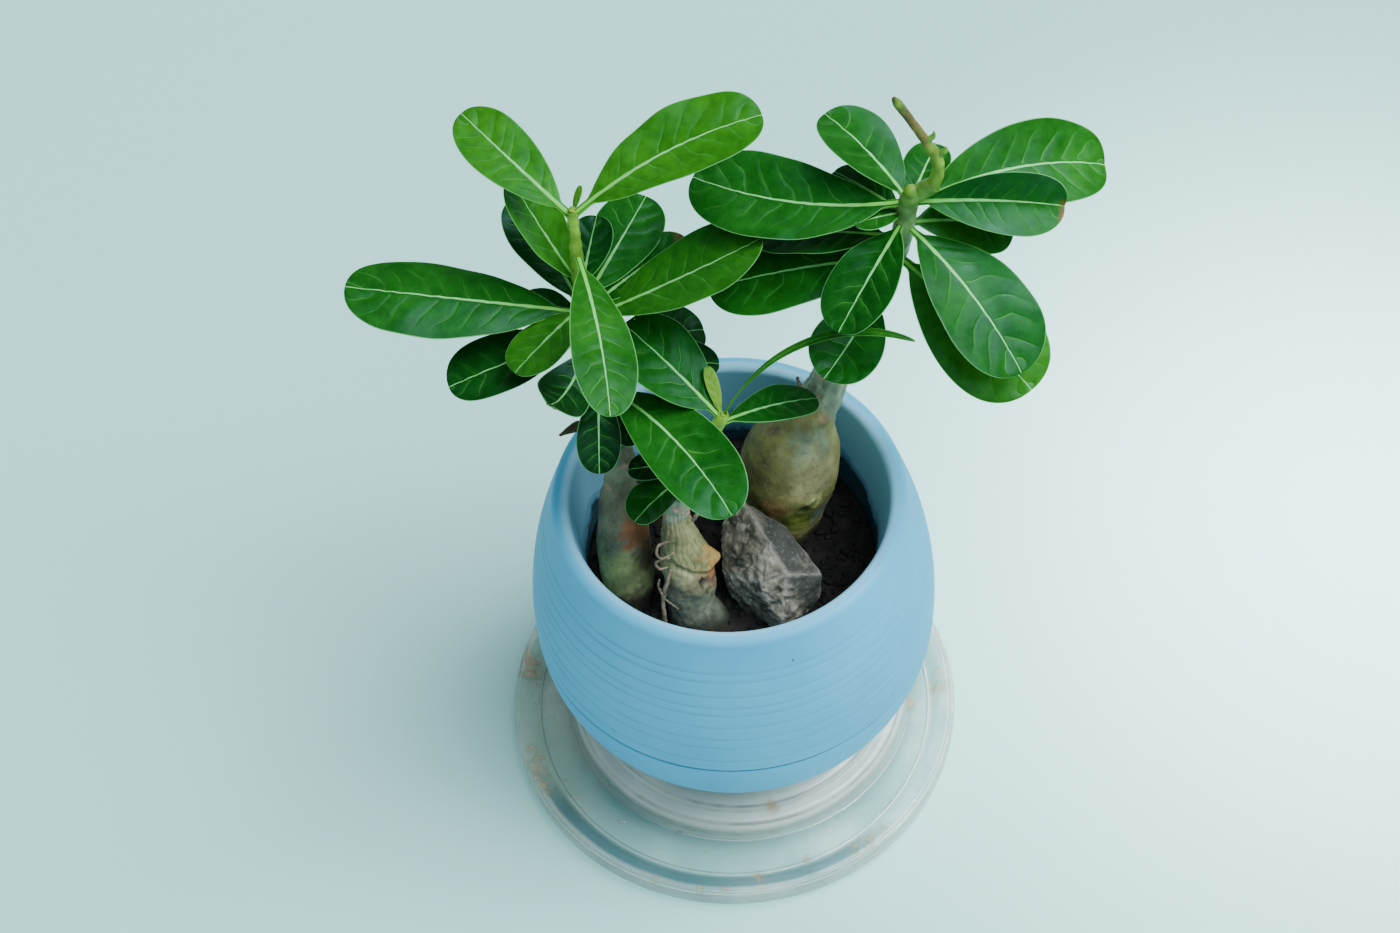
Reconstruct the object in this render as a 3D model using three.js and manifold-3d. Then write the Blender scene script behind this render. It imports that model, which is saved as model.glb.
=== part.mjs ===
// Potted desert rose: three young adeniums in dark soil, in a blue plastic pot on a clear glass saucer.
// Millimetres, +Z up. The origin is on the pot's axis, on the surface that the saucer stands on.
// The camera side of the plant is -Y. Angles are in degrees.

import * as THREE from 'three';
import { mergeVertices } from 'three/addons/utils/BufferGeometryUtils.js';
import { ConvexGeometry } from 'three/addons/geometries/ConvexGeometry.js';
import Module from 'manifold-3d';

const wasm = await Module();
wasm.setup();

// Clearance between pieces that touch.
const GAP = 0.3;

// Saucer: pressed glass, its own axis a little to the front left of the pot's.
const SAUCER_AXIS = new THREE.Vector3(-1.6, -3.9, 0);
const SAUCER_RADIUS = 64.6;
const SAUCER_RIM_HEIGHT = 8;
const SAUCER_RIM_WIDTH = 5.4;
const SAUCER_FLOOR = 4.2;
const PEDESTAL_RADIUS = 48.5;
const PEDESTAL_HEIGHT = 12.6;

// Pot: moulded plastic, belly widest at half height, drain hole in the floor.
const POT_BASE = PEDESTAL_HEIGHT + GAP;
const POT_FOOT_RADIUS = 32.3;
const POT_HEEL = { radius: 41.6, height: 21.3 };
const POT_GROOVE = { height: 48, depth: 0.7, width: 0.5 };
const POT_BELLY = { radius: 55, height: 54 };
const POT_SHOULDER = { radius: 46.3, height: 98.8 };
const POT_LIP = { radius: 43.8, height: 98.8, tube: 2.5 };
const POT_BORE = { soil: 38.5, floor: 34 };
const POT_FLOOR = 4;
const DRAIN_RADIUS = 5;

// Soil: level that the plants stand in, well below the lip.
const SOIL_LEVEL = 75;
const BURIED = 10;

// Leaf blades.
const BLADE_THICKNESS = 0.7;
const STALK_WIDTH = 1.9;
const STALK_THICKNESS = 1.7;
const STALK_SHARE = 0.1;
const BROADEST = { before: 0.8, after: 0.45 };

// Roundness of the turned and swept pieces.
const TURNED_SIDES = 44;
const CAUDEX_SIDES = 20;
const STEM_SIDES = 10;

const rad = THREE.MathUtils.degToRad;

// A closed mesh as a solid, with coincident vertices joined and collapsed faces left out.
function solid(geometry) {
  for (const name of Object.keys(geometry.attributes)) {
    if (name !== 'position') geometry.deleteAttribute(name);
  }
  const merged = mergeVertices(geometry, 1e-4);
  const index = merged.index.array;
  const triangles = [];
  for (let i = 0; i < index.length; i += 3) {
    const [a, b, c] = [index[i], index[i + 1], index[i + 2]];
    if (a !== b && b !== c && c !== a) triangles.push(a, b, c);
  }
  return new wasm.Manifold(new wasm.Mesh({
    numProp: 3,
    vertProperties: new Float32Array(merged.attributes.position.array),
    triVerts: new Uint32Array(triangles),
  }));
}

function geometryOf(body) {
  const mesh = body.getMesh();
  const geometry = new THREE.BufferGeometry();
  geometry.setAttribute('position', new THREE.BufferAttribute(mesh.vertProperties, 3));
  geometry.setIndex(new THREE.BufferAttribute(mesh.triVerts, 1));
  geometry.computeVertexNormals();
  return geometry;
}

// A turned piece about +Z from outline points [radius, height].
function turned(outline, sides = TURNED_SIDES) {
  const points = outline.map(([radius, height]) => new THREE.Vector2(radius, height));
  return new THREE.LatheGeometry(points, sides).rotateX(Math.PI / 2);
}

// A round arc of outline points from one angle to another.
function arc(radius, height, tube, from, to, steps) {
  return Array.from({ length: steps + 1 }, (_, i) => {
    const angle = rad(from + (to - from) * i / steps);
    return [radius + tube * Math.cos(angle), height + tube * Math.sin(angle)];
  });
}

// A round body whose axis runs through [x, y, z, radius] stations; grow swells it all round.
function swept(stations, sides, rings, grow = 0) {
  const centres = stations.map(([x, y, z]) => new THREE.Vector3(x, y, z));
  const curve = new THREE.CatmullRomCurve3(centres, false, 'centripetal');
  const radii = new THREE.CatmullRomCurve3(
    stations.map(([, , , radius], i) => new THREE.Vector3(radius, i, 0)), false, 'centripetal');
  const outline = [new THREE.Vector2(0, 0)];
  for (let i = 0; i <= rings; i++) {
    outline.push(new THREE.Vector2(radii.getPoint(i / rings).x + grow, i / rings));
  }
  outline.push(new THREE.Vector2(0, 1));
  const geometry = new THREE.LatheGeometry(outline, sides);
  const position = geometry.attributes.position;
  const across = new THREE.Vector3();
  const beside = new THREE.Vector3();
  for (let i = 0; i < position.count; i++) {
    const along = position.getY(i);
    const tangent = curve.getTangent(along);
    across.set(1, 0, 0).addScaledVector(tangent, -tangent.x).normalize();
    beside.crossVectors(across, tangent);
    const end = along === 0 ? -grow : along === 1 ? grow : 0;
    const point = curve.getPoint(along)
      .addScaledVector(tangent, end)
      .addScaledVector(across, position.getX(i))
      .addScaledVector(beside, position.getZ(i));
    position.setXYZ(i, point.x, point.y, point.z);
  }
  return geometry;
}

// The point on a stem's axis at a height.
function axisAt(stations, height) {
  const next = Math.max(1, stations.findIndex(([, , z]) => z >= height));
  const [below, above] = [stations[next - 1], stations[next]];
  const share = (height - below[2]) / (above[2] - below[2]);
  return new THREE.Vector3(
    below[0] + (above[0] - below[0]) * share,
    below[1] + (above[1] - below[1]) * share,
    height);
}

// Heading, side and upper face of a leaf that points at an azimuth and rises above level.
function leafFrame(azimuth, rise, roll) {
  const [a, e, r] = [rad(azimuth), rad(rise), rad(roll)];
  const heading = new THREE.Vector3(Math.cos(a) * Math.cos(e), Math.sin(a) * Math.cos(e), Math.sin(e));
  const level = new THREE.Vector3(-Math.sin(a), Math.cos(a), 0);
  const upper = new THREE.Vector3().crossVectors(heading, level);
  const side = level.clone().multiplyScalar(Math.cos(r)).addScaledVector(upper, Math.sin(r));
  const face = upper.multiplyScalar(Math.cos(r)).addScaledVector(level, -Math.sin(r));
  return { heading, side, face };
}

// Half the width of a leaf at a share of its length: a narrow stalk, then a blade broadest past the middle.
function halfWidth(share, width) {
  const blade = Math.max(0, (share - STALK_SHARE) / (1 - STALK_SHARE));
  const { before, after } = BROADEST;
  const peak = before / (before + after);
  const full = peak ** before * (1 - peak) ** after;
  const stalk = STALK_WIDTH / 2 * Math.min(1, width / 8) * Math.sqrt(1 - blade);
  return Math.max(stalk, width / 2 * blade ** before * (1 - blade) ** after / full);
}

// A leaf from its root: it points at azimuth and rise, droops and sweeps along its length, and its blade
// is rolled about the midrib and cupped upwards at its edges.
function leafGeometry(root, leaf) {
  const { azimuth, rise, length, width, droop = 15, sweep = 0, roll = 0, cup = 0.15 } = leaf;
  const rows = length > 16 ? 8 : 5;
  const columns = width > 8 ? 4 : 2;
  const steps = 4;
  const positions = [];
  const centre = root.clone();
  for (let row = 0; row <= rows; row++) {
    const share = row / rows;
    for (let step = 0; row > 0 && step < steps; step++) {
      const middle = (row - 1 + (step + 0.5) / steps) / rows;
      const { heading } = leafFrame(azimuth + sweep * middle, rise - droop * middle, 0);
      centre.addScaledVector(heading, length / rows / steps);
    }
    const { side, face } = leafFrame(azimuth + sweep * share, rise - droop * share, roll);
    const half = halfWidth(share, width);
    const blade = Math.min(1, share / (2 * STALK_SHARE));
    const thickness = STALK_THICKNESS + (BLADE_THICKNESS - STALK_THICKNESS) * blade;
    for (const surface of [1, -1]) {
      for (let column = 0; column <= columns; column++) {
        const across = 2 * column / columns - 1;
        const point = centre.clone()
          .addScaledVector(side, across * half)
          .addScaledVector(face, cup * half * Math.abs(across) ** 1.5 + surface * thickness / 2);
        positions.push(point.x, point.y, point.z);
      }
    }
  }
  const row = 2 * (columns + 1);
  const top = (i, j) => i * row + j;
  const under = (i, j) => i * row + columns + 1 + j;
  const faces = [];
  const quad = (a, b, c, d) => faces.push(a, b, c, a, c, d);
  for (let i = 0; i < rows; i++) {
    for (let j = 0; j < columns; j++) {
      quad(top(i, j), top(i + 1, j), top(i + 1, j + 1), top(i, j + 1));
      quad(under(i, j), under(i, j + 1), under(i + 1, j + 1), under(i + 1, j));
    }
    quad(top(i, 0), under(i, 0), under(i + 1, 0), top(i + 1, 0));
    quad(top(i, columns), top(i + 1, columns), under(i + 1, columns), under(i, columns));
  }
  for (let j = 0; j < columns; j++) {
    quad(top(0, j), top(0, j + 1), under(0, j + 1), under(0, j));
    quad(top(rows, j), under(rows, j), under(rows, j + 1), top(rows, j + 1));
  }
  const geometry = new THREE.BufferGeometry();
  geometry.setAttribute('position', new THREE.Float32BufferAttribute(positions, 3));
  geometry.setIndex(faces);
  return geometry;
}

// A solid that faces outwards whichever way its mesh was wound.
function outward(geometry) {
  const body = solid(geometry);
  if (body.volume() > 0) return body;
  const index = geometry.index.array;
  for (let i = 0; i < index.length; i += 3) [index[i + 1], index[i + 2]] = [index[i + 2], index[i + 1]];
  return solid(geometry);
}

// The glass saucer: flat below, an upright edge, a rounded rim, a sunk floor and a stepped pedestal.
function saucer() {
  const rim = SAUCER_RADIUS - SAUCER_RIM_WIDTH;
  const outline = [
    [0, 0], [63.2, 0], [SAUCER_RADIUS, 1.4],
    [SAUCER_RADIUS, SAUCER_RIM_HEIGHT - 2], [SAUCER_RADIUS - 0.8, SAUCER_RIM_HEIGHT - 0.5],
    [SAUCER_RADIUS - 2.6, SAUCER_RIM_HEIGHT], [rim, SAUCER_RIM_HEIGHT - 0.9], [rim - 1.4, SAUCER_FLOOR + 0.7],
    [rim - 3.4, SAUCER_FLOOR], [PEDESTAL_RADIUS + 1.6, SAUCER_FLOOR + 0.2],
    [PEDESTAL_RADIUS, PEDESTAL_HEIGHT - 4.6], [PEDESTAL_RADIUS - 1.6, PEDESTAL_HEIGHT - 2.6],
    [PEDESTAL_RADIUS - 4, PEDESTAL_HEIGHT - 2.4], [PEDESTAL_RADIUS - 4.9, PEDESTAL_HEIGHT - 1],
    [PEDESTAL_RADIUS - 7, PEDESTAL_HEIGHT], [0, PEDESTAL_HEIGHT],
  ];
  return outward(turned(outline)).translate(SAUCER_AXIS.toArray());
}

// Radius of the pot's outer face at a height: a smooth belly between the heel and the shoulder.
function potRadius(height) {
  const lower = height < POT_BELLY.height;
  const end = lower ? POT_HEEL : POT_SHOULDER;
  const share = (height - POT_BELLY.height) / (end.height - POT_BELLY.height);
  return POT_BELLY.radius - (POT_BELLY.radius - end.radius) * Math.abs(share) ** (lower ? 2.5 : 2);
}

function pot() {
  const { height, depth, width } = POT_GROOVE;
  const low = [28, 36, 43, height - width].map((z) => [potRadius(z), z]);
  const high = [height + width, 54, 63, 72, 81, 89, 95].map((z) => [potRadius(z), z]);
  const lip = arc(POT_LIP.radius, POT_LIP.height, POT_LIP.tube, 0, 180, 6);
  const inside = [[POT_BORE.soil, SOIL_LEVEL], [POT_BORE.floor, POT_BASE + POT_FLOOR]];
  const outline = [
    [DRAIN_RADIUS, POT_BASE], [POT_FOOT_RADIUS - 1, POT_BASE], [POT_FOOT_RADIUS, POT_BASE + 0.8],
    [(POT_FOOT_RADIUS + POT_HEEL.radius) / 2 + 0.7, (POT_BASE + POT_HEEL.height) / 2],
    [POT_HEEL.radius, POT_HEEL.height], ...low, [potRadius(height) - depth, height], ...high, ...lip,
    ...inside, [DRAIN_RADIUS, POT_BASE + POT_FLOOR], [DRAIN_RADIUS, POT_BASE],
  ];
  return outward(turned(outline));
}

// The left plant's caudex: slim, leaning back, with a swelling on its right shoulder.
const LEFT_CAUDEX = [
  [-26.9, -15.5, SOIL_LEVEL - BURIED, 3.6], [-27, -13.5, 70, 5.4], [-27.8, -9, 79, 6.8], [-28, -5.6, 85, 7],
  [-28, -2.2, 92, 6.8], [-28, 1, 100, 5.6], [-27.7, 3.4, 105, 4.4], [-27.4, 5.6, 112, 3.7],
  [-27.8, 6.8, 117, 3.4],
];
const LEFT_STEM = [
  [-27.82, 6.87, 117 + GAP, 3.3], [-28.2, 7.8, 121.3, 3.2], [-29.2, 8.6, 128, 3], [-30.2, 10, 138, 2.8],
  [-31.6, 12, 154, 2.5], [-32.2, 13, 164, 2.3], [-32.2, 14, 179, 2], [-32, 15, 191, 1.7],
  [-32, 15.1, 192.5, 1],
];

// The right plant's caudex: the fattest, a flask with a short neck.
const RIGHT_CAUDEX = [
  [14, 8, SOIL_LEVEL - BURIED, 6], [14.8, 9, 70, 9], [15.2, 9.6, 77, 10.6], [16, 10.2, 84, 11.4],
  [16.8, 11.8, 93, 12], [18.9, 14.2, 103, 10.6], [21.2, 16.2, 109, 8.4], [24.2, 17.8, 113.5, 6],
  [26.3, 19.2, 118, 5], [28.6, 20.9, 124, 4.3], [29.8, 21.3, 127, 4.1],
];
const RIGHT_STEM = [
  [29.92, 21.34, 127 + GAP, 4], [31.4, 21.8, 131, 3.9], [34, 21.7, 138, 3.5], [38, 21.4, 148, 3.1],
  [41.6, 21, 159, 2.8], [44, 20, 172, 2.6], [45, 19, 184, 2.4], [47.6, 18.6, 187.6, 2.1],
  [50.6, 18.2, 190, 2],
];
// The young shoot folded upwards from the right stem's end, drying at its tip.
const RIGHT_SHOOT = [
  [49.6, 18.2, 188.6, 1.9], [51, 18.2, 193, 1.7], [50.6, 18.4, 198, 1.5], [47.8, 19, 203.2, 1.3],
  [43.7, 19, 210.6, 1.1], [40.2, 19, 216.8, 0.5],
];

// The front plant's caudex: small and wrinkled, with a knob to the right and a root lobe at its foot.
const FRONT_CAUDEX = [
  [-10.2, -22, SOIL_LEVEL - BURIED, 4.4], [-10.6, -20.6, 70, 6.2], [-11.8, -17.2, 79, 6.3],
  [-12, -13.8, 89, 6], [-13.4, -10.4, 99, 4.6], [-13.9, -8.4, 105, 3], [-13.2, -8, 110, 2.5],
  [-12.4, -8.2, 112.5, 2.4],
];
const FRONT_KNOB = { centre: [-7, -12.8, 91], radii: [3.2, 3, 4] };
const FRONT_LOBE = { centre: [-5, -20.5, 73], radii: [5, 4.5, 7] };
const FRONT_STEM = [
  [-12.2, -8.3, 112.6 + GAP, 2.3], [-9.7, -8.2, 119.6, 2], [-5.2, -6.8, 130.6, 1.8],
  [-0.95, -4.7, 138.2, 1.6], [-0.4, -4.4, 139.4, 0.9],
];

// Leaves, from the top of each stem down. A root is at a height on the stem's axis.
const LEFT_LEAVES = [
  { at: 190, azimuth: 140, rise: 26, length: 36, width: 14.5, droop: 12, sweep: -8, roll: -15, cup: 0.1 },
  { at: 190.5, azimuth: 20, rise: 34, length: 49, width: 19, droop: 30, sweep: -9, roll: 12, cup: 0.2 },
  { at: 191, azimuth: 95, rise: 70, length: 9, width: 2.4 },
  { at: 179, azimuth: -76, rise: 0, length: 45, width: 15, droop: 14, sweep: -12, roll: -15, cup: 0.18 },
  { at: 168, azimuth: 139, rise: 46, length: 30, width: 15.5, droop: 2, sweep: -8, roll: 18, cup: 0.2 },
  { at: 167, azimuth: 74, rise: 32, length: 19, width: 10.5 },
  { at: 164, azimuth: 36, rise: 10, length: 31, width: 13 },
  { at: 163, azimuth: 60, rise: 8, length: 36, width: 17, droop: 10, sweep: 6, roll: 10, cup: 0.05 },
  { at: 162, azimuth: -132, rise: 6, length: 24, width: 15.5, droop: 24, sweep: -4, roll: 10, cup: 0.1 },
  { at: 161, azimuth: 122, rise: 34, length: 32, width: 15 },
  { at: 160, azimuth: 180, rise: 15, length: 57, width: 21.5, droop: 9, sweep: -8, roll: -7, cup: -0.12 },
  { at: 158, azimuth: 2, rise: 24, length: 47, width: 20.5, droop: 1, sweep: 9 },
  { at: 158, azimuth: 160, rise: 14, length: 17, width: 10 },
  { at: 153, azimuth: -160, rise: 3, length: 36, width: 18.5, droop: 14, sweep: -2 },
  { at: 151, azimuth: -121, rise: -42, length: 27, width: 13.4, droop: -98, sweep: 12, roll: -27, cup: 0.18 },
  { at: 144.5, azimuth: 27, rise: 5, length: 30, width: 15, droop: 29, sweep: -8, roll: 17, cup: 0.2 },
  { at: 141, azimuth: 3, rise: 8, length: 30, width: 13.8, droop: 20, sweep: -5, cup: 0.2 },
  { at: 139, azimuth: -94, rise: -24, length: 24, width: 11, droop: 20 },
  { at: 136, azimuth: -46, rise: 15, length: 52, width: 19.6, droop: 31, sweep: -17, roll: 4, cup: 0.14 },
  { at: 136, azimuth: -60, rise: -20, length: 17, width: 9 },
];
const RIGHT_LEAVES = [
  { at: 184, azimuth: 176, rise: -10, length: 52, width: 22.5, droop: -15, sweep: -25, roll: -16, cup: 0.08 },
  { at: 183.5, azimuth: 125, rise: 29, length: 29, width: 18.5, droop: 17, sweep: 12, roll: 10, cup: 0.2 },
  { at: 182, azimuth: 20, rise: 14, length: 53, width: 21, droop: 42, sweep: -5, roll: 30, cup: 0.25 },
  { at: 184, azimuth: -5, rise: 5, length: 37, width: 14.8, droop: 24, sweep: 9, roll: 54, cup: 0.56 },
  { at: 180, azimuth: 64, rise: 16, length: 21, width: 11 },
  { at: 180, azimuth: 196, rise: 12, length: 13, width: 7.6 },
  { at: 179, azimuth: 138, rise: 12, length: 21, width: 11 },
  { at: 178, azimuth: -125, rise: -12, length: 32, width: 17.5, droop: 16, sweep: -2, roll: 8, cup: 0.2 },
  { at: 176, azimuth: -50, rise: -8, length: 45, width: 23.5, droop: 27, sweep: -10, roll: 3, cup: 0.18 },
  { at: 176, azimuth: 9, rise: -2, length: 28, width: 15.5, droop: 28, sweep: -9, roll: -6, cup: 0.2 },
  { at: 171, azimuth: 172, rise: 6, length: 36, width: 16 },
  { at: 165, azimuth: -43, rise: -17, length: 46, width: 25.5, droop: 10, sweep: -6, roll: 22, cup: 0.04 },
  { at: 163, azimuth: 184, rise: 6, length: 45, width: 22, droop: 20, roll: -12, cup: 0.1 },
  { at: 151, azimuth: -113, rise: 5, length: 31, width: 17.4, droop: 8, sweep: -14, roll: -16 },
];
const FRONT_LEAVES = [
  { at: 138.6, azimuth: 34, rise: 54, length: 55, width: 2.6, droop: 59, sweep: -60, cup: 0.3 },
  { at: 138.2, azimuth: 105, rise: 42, length: 13, width: 3.4 },
  { at: 137.8, azimuth: 139, rise: 36, length: 33, width: 20.7, droop: 17, roll: 3, cup: 0.1 },
  { at: 136.4, azimuth: 22, rise: 4, length: 27, width: 11.5, droop: 25, sweep: -4, cup: 0.1 },
  { at: 123.8, azimuth: 176, rise: 2, length: 17, width: 9 },
  { at: 121, azimuth: -148, rise: 1, length: 19, width: 13, droop: 20, sweep: 12, roll: 12, cup: 0.25 },
];

// Stone: a rough convex block lying on the soil, its sharp ridge running down to the front right.
const STONE_CORNERS = [
  [3, 0.5, 98], [-2.6, -2, 91], [-3.4, -12.6, 84], [-1.4, -15.5, 76], [2, -19.5, 73.4], [11, -27, 73.4],
  [11.5, -27, 78.5], [22.4, -19.8, 78], [21.5, -18, 73.4], [23.2, -17, 86], [15, -6.5, 93], [9, -13.5, 98],
  [13.5, -20.5, 92], [6.4, -22, 90], [20, -10, 74], [2, -2.6, 76],
];

const ellipsoid = ({ centre, radii }, grow = 0) => outward(
  new THREE.SphereGeometry(1, 14, 10).scale(...radii.map((r) => r + grow)).translate(...centre));

const caudex = (stations, grow = 0) => outward(swept(stations, CAUDEX_SIDES, 16, grow));

function frontCaudex(grow = 0) {
  return caudex(FRONT_CAUDEX, grow).add(ellipsoid(FRONT_KNOB, grow)).add(ellipsoid(FRONT_LOBE, grow));
}

// A stone of the given corners, swollen about its middle by grow.
function stone(grow = 0) {
  const corners = STONE_CORNERS.map(([x, y, z]) => new THREE.Vector3(x, y, z));
  const middle = corners.reduce((sum, corner) => sum.add(corner), new THREE.Vector3());
  middle.divideScalar(corners.length);
  for (const corner of corners) corner.addScaledVector(corner.clone().sub(middle).normalize(), grow);
  return outward(new ConvexGeometry(corners));
}

// A stem with its leaves grown out of it, as one body.
function leafyStem(stations, leaves, ...more) {
  const parts = leaves.map((leaf) => outward(leafGeometry(axisAt(stations, leaf.at), leaf)));
  return wasm.Manifold.union([outward(swept(stations, STEM_SIDES, 14)), ...parts, ...more]);
}

// Soil that fills the pot, with a plain hole for the foot of each caudex and a dent under the stone.
function soil() {
  const bore = POT_BORE.soil - GAP;
  const outline = [
    [0, POT_BASE + POT_FLOOR + GAP], [POT_BORE.floor - GAP, POT_BASE + POT_FLOOR + GAP],
    [bore, SOIL_LEVEL], [bore - 3, SOIL_LEVEL - 0.4], [bore * 0.6, SOIL_LEVEL - 1],
    [bore * 0.3, SOIL_LEVEL - 0.2], [0, SOIL_LEVEL - 0.5],
  ];
  return outward(turned(outline))
    .subtract(caudex(LEFT_CAUDEX, GAP))
    .subtract(caudex(RIGHT_CAUDEX, GAP))
    .subtract(frontCaudex(GAP))
    .subtract(stone(GAP));
}

const group = new THREE.Group();

function place(name, body, color, roughness, extra = {}) {
  const material = new THREE.MeshStandardMaterial({ color, roughness, metalness: 0, ...extra });
  const mesh = new THREE.Mesh(geometryOf(body), material);
  mesh.name = name;
  group.add(mesh);
}

place('saucer', saucer(), 0xb9cfcb, 0.08, { transparent: true, opacity: 0.5 });
place('pot', pot(), 0x74b2d2, 0.6);
place('soil', soil(), 0x1b1815, 0.95);
place('stone', stone(), 0x6d6a66, 0.85);
place('caudex_left', caudex(LEFT_CAUDEX), 0x7b8a6b, 0.7);
place('caudex_right', caudex(RIGHT_CAUDEX), 0x8d8a5a, 0.7);
place('caudex_front', frontCaudex(), 0x9a9a66, 0.7);
place('leafy_stem_left', leafyStem(LEFT_STEM, LEFT_LEAVES), 0x2f8a2b, 0.35);
place('leafy_stem_right',
  leafyStem(RIGHT_STEM, RIGHT_LEAVES, outward(swept(RIGHT_SHOOT, STEM_SIDES, 10))), 0x1f6b2a, 0.35);
place('leafy_stem_front', leafyStem(FRONT_STEM, FRONT_LEAVES), 0x3a9434, 0.35);

export default group;
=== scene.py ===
import math
import random

import bmesh
import bpy
from mathutils import Matrix, Vector, noise


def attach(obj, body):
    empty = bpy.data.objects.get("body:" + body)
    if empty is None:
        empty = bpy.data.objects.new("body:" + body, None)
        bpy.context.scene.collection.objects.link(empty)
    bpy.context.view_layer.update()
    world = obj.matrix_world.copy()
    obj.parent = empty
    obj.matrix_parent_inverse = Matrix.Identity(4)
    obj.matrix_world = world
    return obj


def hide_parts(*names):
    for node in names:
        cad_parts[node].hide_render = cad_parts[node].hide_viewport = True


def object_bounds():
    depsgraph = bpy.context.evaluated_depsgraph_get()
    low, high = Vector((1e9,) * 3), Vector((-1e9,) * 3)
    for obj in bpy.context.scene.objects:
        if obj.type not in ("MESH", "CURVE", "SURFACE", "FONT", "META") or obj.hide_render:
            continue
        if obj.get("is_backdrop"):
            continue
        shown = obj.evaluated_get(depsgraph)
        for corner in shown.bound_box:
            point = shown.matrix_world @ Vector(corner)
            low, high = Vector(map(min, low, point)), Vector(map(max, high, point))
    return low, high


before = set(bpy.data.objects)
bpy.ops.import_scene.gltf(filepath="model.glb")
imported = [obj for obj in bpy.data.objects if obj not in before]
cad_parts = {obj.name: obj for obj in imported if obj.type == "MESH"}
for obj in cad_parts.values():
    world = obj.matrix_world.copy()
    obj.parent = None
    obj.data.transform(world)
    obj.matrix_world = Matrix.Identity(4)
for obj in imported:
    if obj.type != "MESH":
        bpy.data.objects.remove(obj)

cad_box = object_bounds()
MM = 0.001

# Saucer. A clear pressed-glass saucer with a thick rounded rim, a sunk floor and a stepped ring in the
# middle that the pot stands on. Its rim is turned about an axis a little in front of the pot's, and the
# ring about the pot's own. Dried tan water stains, limescale and a few drops are on it. Its colour also
# holds painted light: painted shade as dark lines at the ring's steps, round the ring under the pot's
# belly and in the rim's channel at the front, and painted highlights as a paler ring, a paler outer rim,
# a paler left side and thin pale glint lines at the right.
SAUCER_AXIS = Vector((-1.6, -3.9, 0)) * MM
SAUCER_CORNERS = [
    (0, 0, 0), (63.4, 0, 0.8), (64.6, 1.6, 0.8), (64.6, 6.2, 1.2), (64, 7.7, 0.8), (62.4, 8, 0.9),
    (59.6, 7.4, 1), (57.6, 4.9, 1.2), (55.6, 4.3, 1.2), (50.3, 4.5, 0.9), (48.6, 8, 1), (47.2, 9.9, 0.7),
    (44.6, 10.3, 0.5), (43.7, 11.8, 0.7), (41.6, 12.6, 0.8), (0, 12.6, 0),
]
RING_FOOT = (50.6, 55.4)
STAINS = [
    (-60, 14, 2.6), (-60.8, 18, 2), (-59.8, 10, 1.4), (-59, -15, 1.6), (-58.1, -21, 2.2), (-55.8, -27, 1.6),
    (60.3, -3, 2.2), (60.5, 2, 1.4), (51, -6, 1.6), (8.4, -40, 1.5), (3.4, -58.3, 1.5), (17, -53.6, 1.3),
    (35, -49.8, 1.5), (31, -51.7, 1), (39.5, -47, 1.3), (-13, -62, 0.9), (-6.3, -62.5, 0.8), (-25, -58, 0.9)]
# Painted shade: radii and strengths of the dark lines painted at the ring's steps, where the glass edges
# look dark.
SHADED_STEP_LINES = [(43.7, 0.6), (44.7, 0.35), (47.8, 0.6)]
DROPS = [(-34, -38, 0.9), (-47, -29.6, 0.8), (-18, -43, 0.7), (-10.6, -49.4, 0.6), (-50.5, -24, 0.7),
         (24, -45, 0.6), (-2, -54, 0.5)]


class Finish:
    """A procedural material, built up node by node round one shader."""

    def __init__(self, name, **values):
        self.material = bpy.data.materials.new(name)
        self.material.use_nodes = True
        self.tree = self.material.node_tree
        self.shader = self.tree.nodes["Principled BSDF"]
        self.place = self.node("TexCoord").outputs["Object"]
        for socket, value in values.items():
            self.set(socket.replace("_", " "), value)

    def feed(self, socket, value):
        if isinstance(value, bpy.types.NodeSocket):
            self.tree.links.new(value, socket)
        else:
            socket.default_value = value

    def set(self, socket, value):
        self.feed(self.shader.inputs[socket], value)

    def node(self, kind, inputs=(), **settings):
        made = self.tree.nodes.new("ShaderNode" + kind)
        for key, value in settings.items():
            setattr(made, key, value)
        for key, value in dict(inputs).items():
            self.feed(made.inputs[key], value)
        return made

    def math(self, operation, *values):
        return self.node("Math", enumerate(values), operation=operation).outputs[0]

    def times(self, first, *others):
        for other in others:
            first = self.math("MULTIPLY", first, other)
        return first

    def mix(self, share, first, second):
        return self.node("Mix", {0: share, 6: first, 7: second}, data_type="RGBA").outputs[2]

    def step(self, value, low, high, start=0.0, end=1.0):
        """start below low, end above high, and smooth between them."""
        inputs = {0: value, 1: low, 2: high, 3: start, 4: end}
        return self.node("MapRange", inputs, interpolation_type="SMOOTHSTEP").outputs[0]

    def noise(self, size, detail=4, place=None):
        """Cloudy values round 0.5, with lumps of about this size in metres."""
        inputs = {"Vector": place or self.place, "Scale": 0.5 / size, "Detail": detail}
        return self.node("TexNoise", inputs).outputs[0]

    def stretched(self, x, y, z):
        """Object coordinates scaled along each axis."""
        return self.node("Mapping", {"Vector": self.place, "Scale": (x, y, z)}).outputs[0]

    def part(self, axis, place=None):
        """One of the three numbers of a place."""
        return self.node("SeparateXYZ", {0: place or self.place}).outputs[axis]

    def attribute(self, name):
        return self.node("Attribute", attribute_name=name).outputs["Vector"]

    def away(self, place, centre):
        """Distance of a place from a centre."""
        return self.node("VectorMath", {0: place, 1: centre}, operation="DISTANCE").outputs["Value"]

    def bump(self, height, depth, under=None):
        inputs = {"Height": height, "Distance": depth, "Strength": 1}
        if under:
            inputs["Normal"] = under
        return self.node("Bump", inputs).outputs[0]


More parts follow.
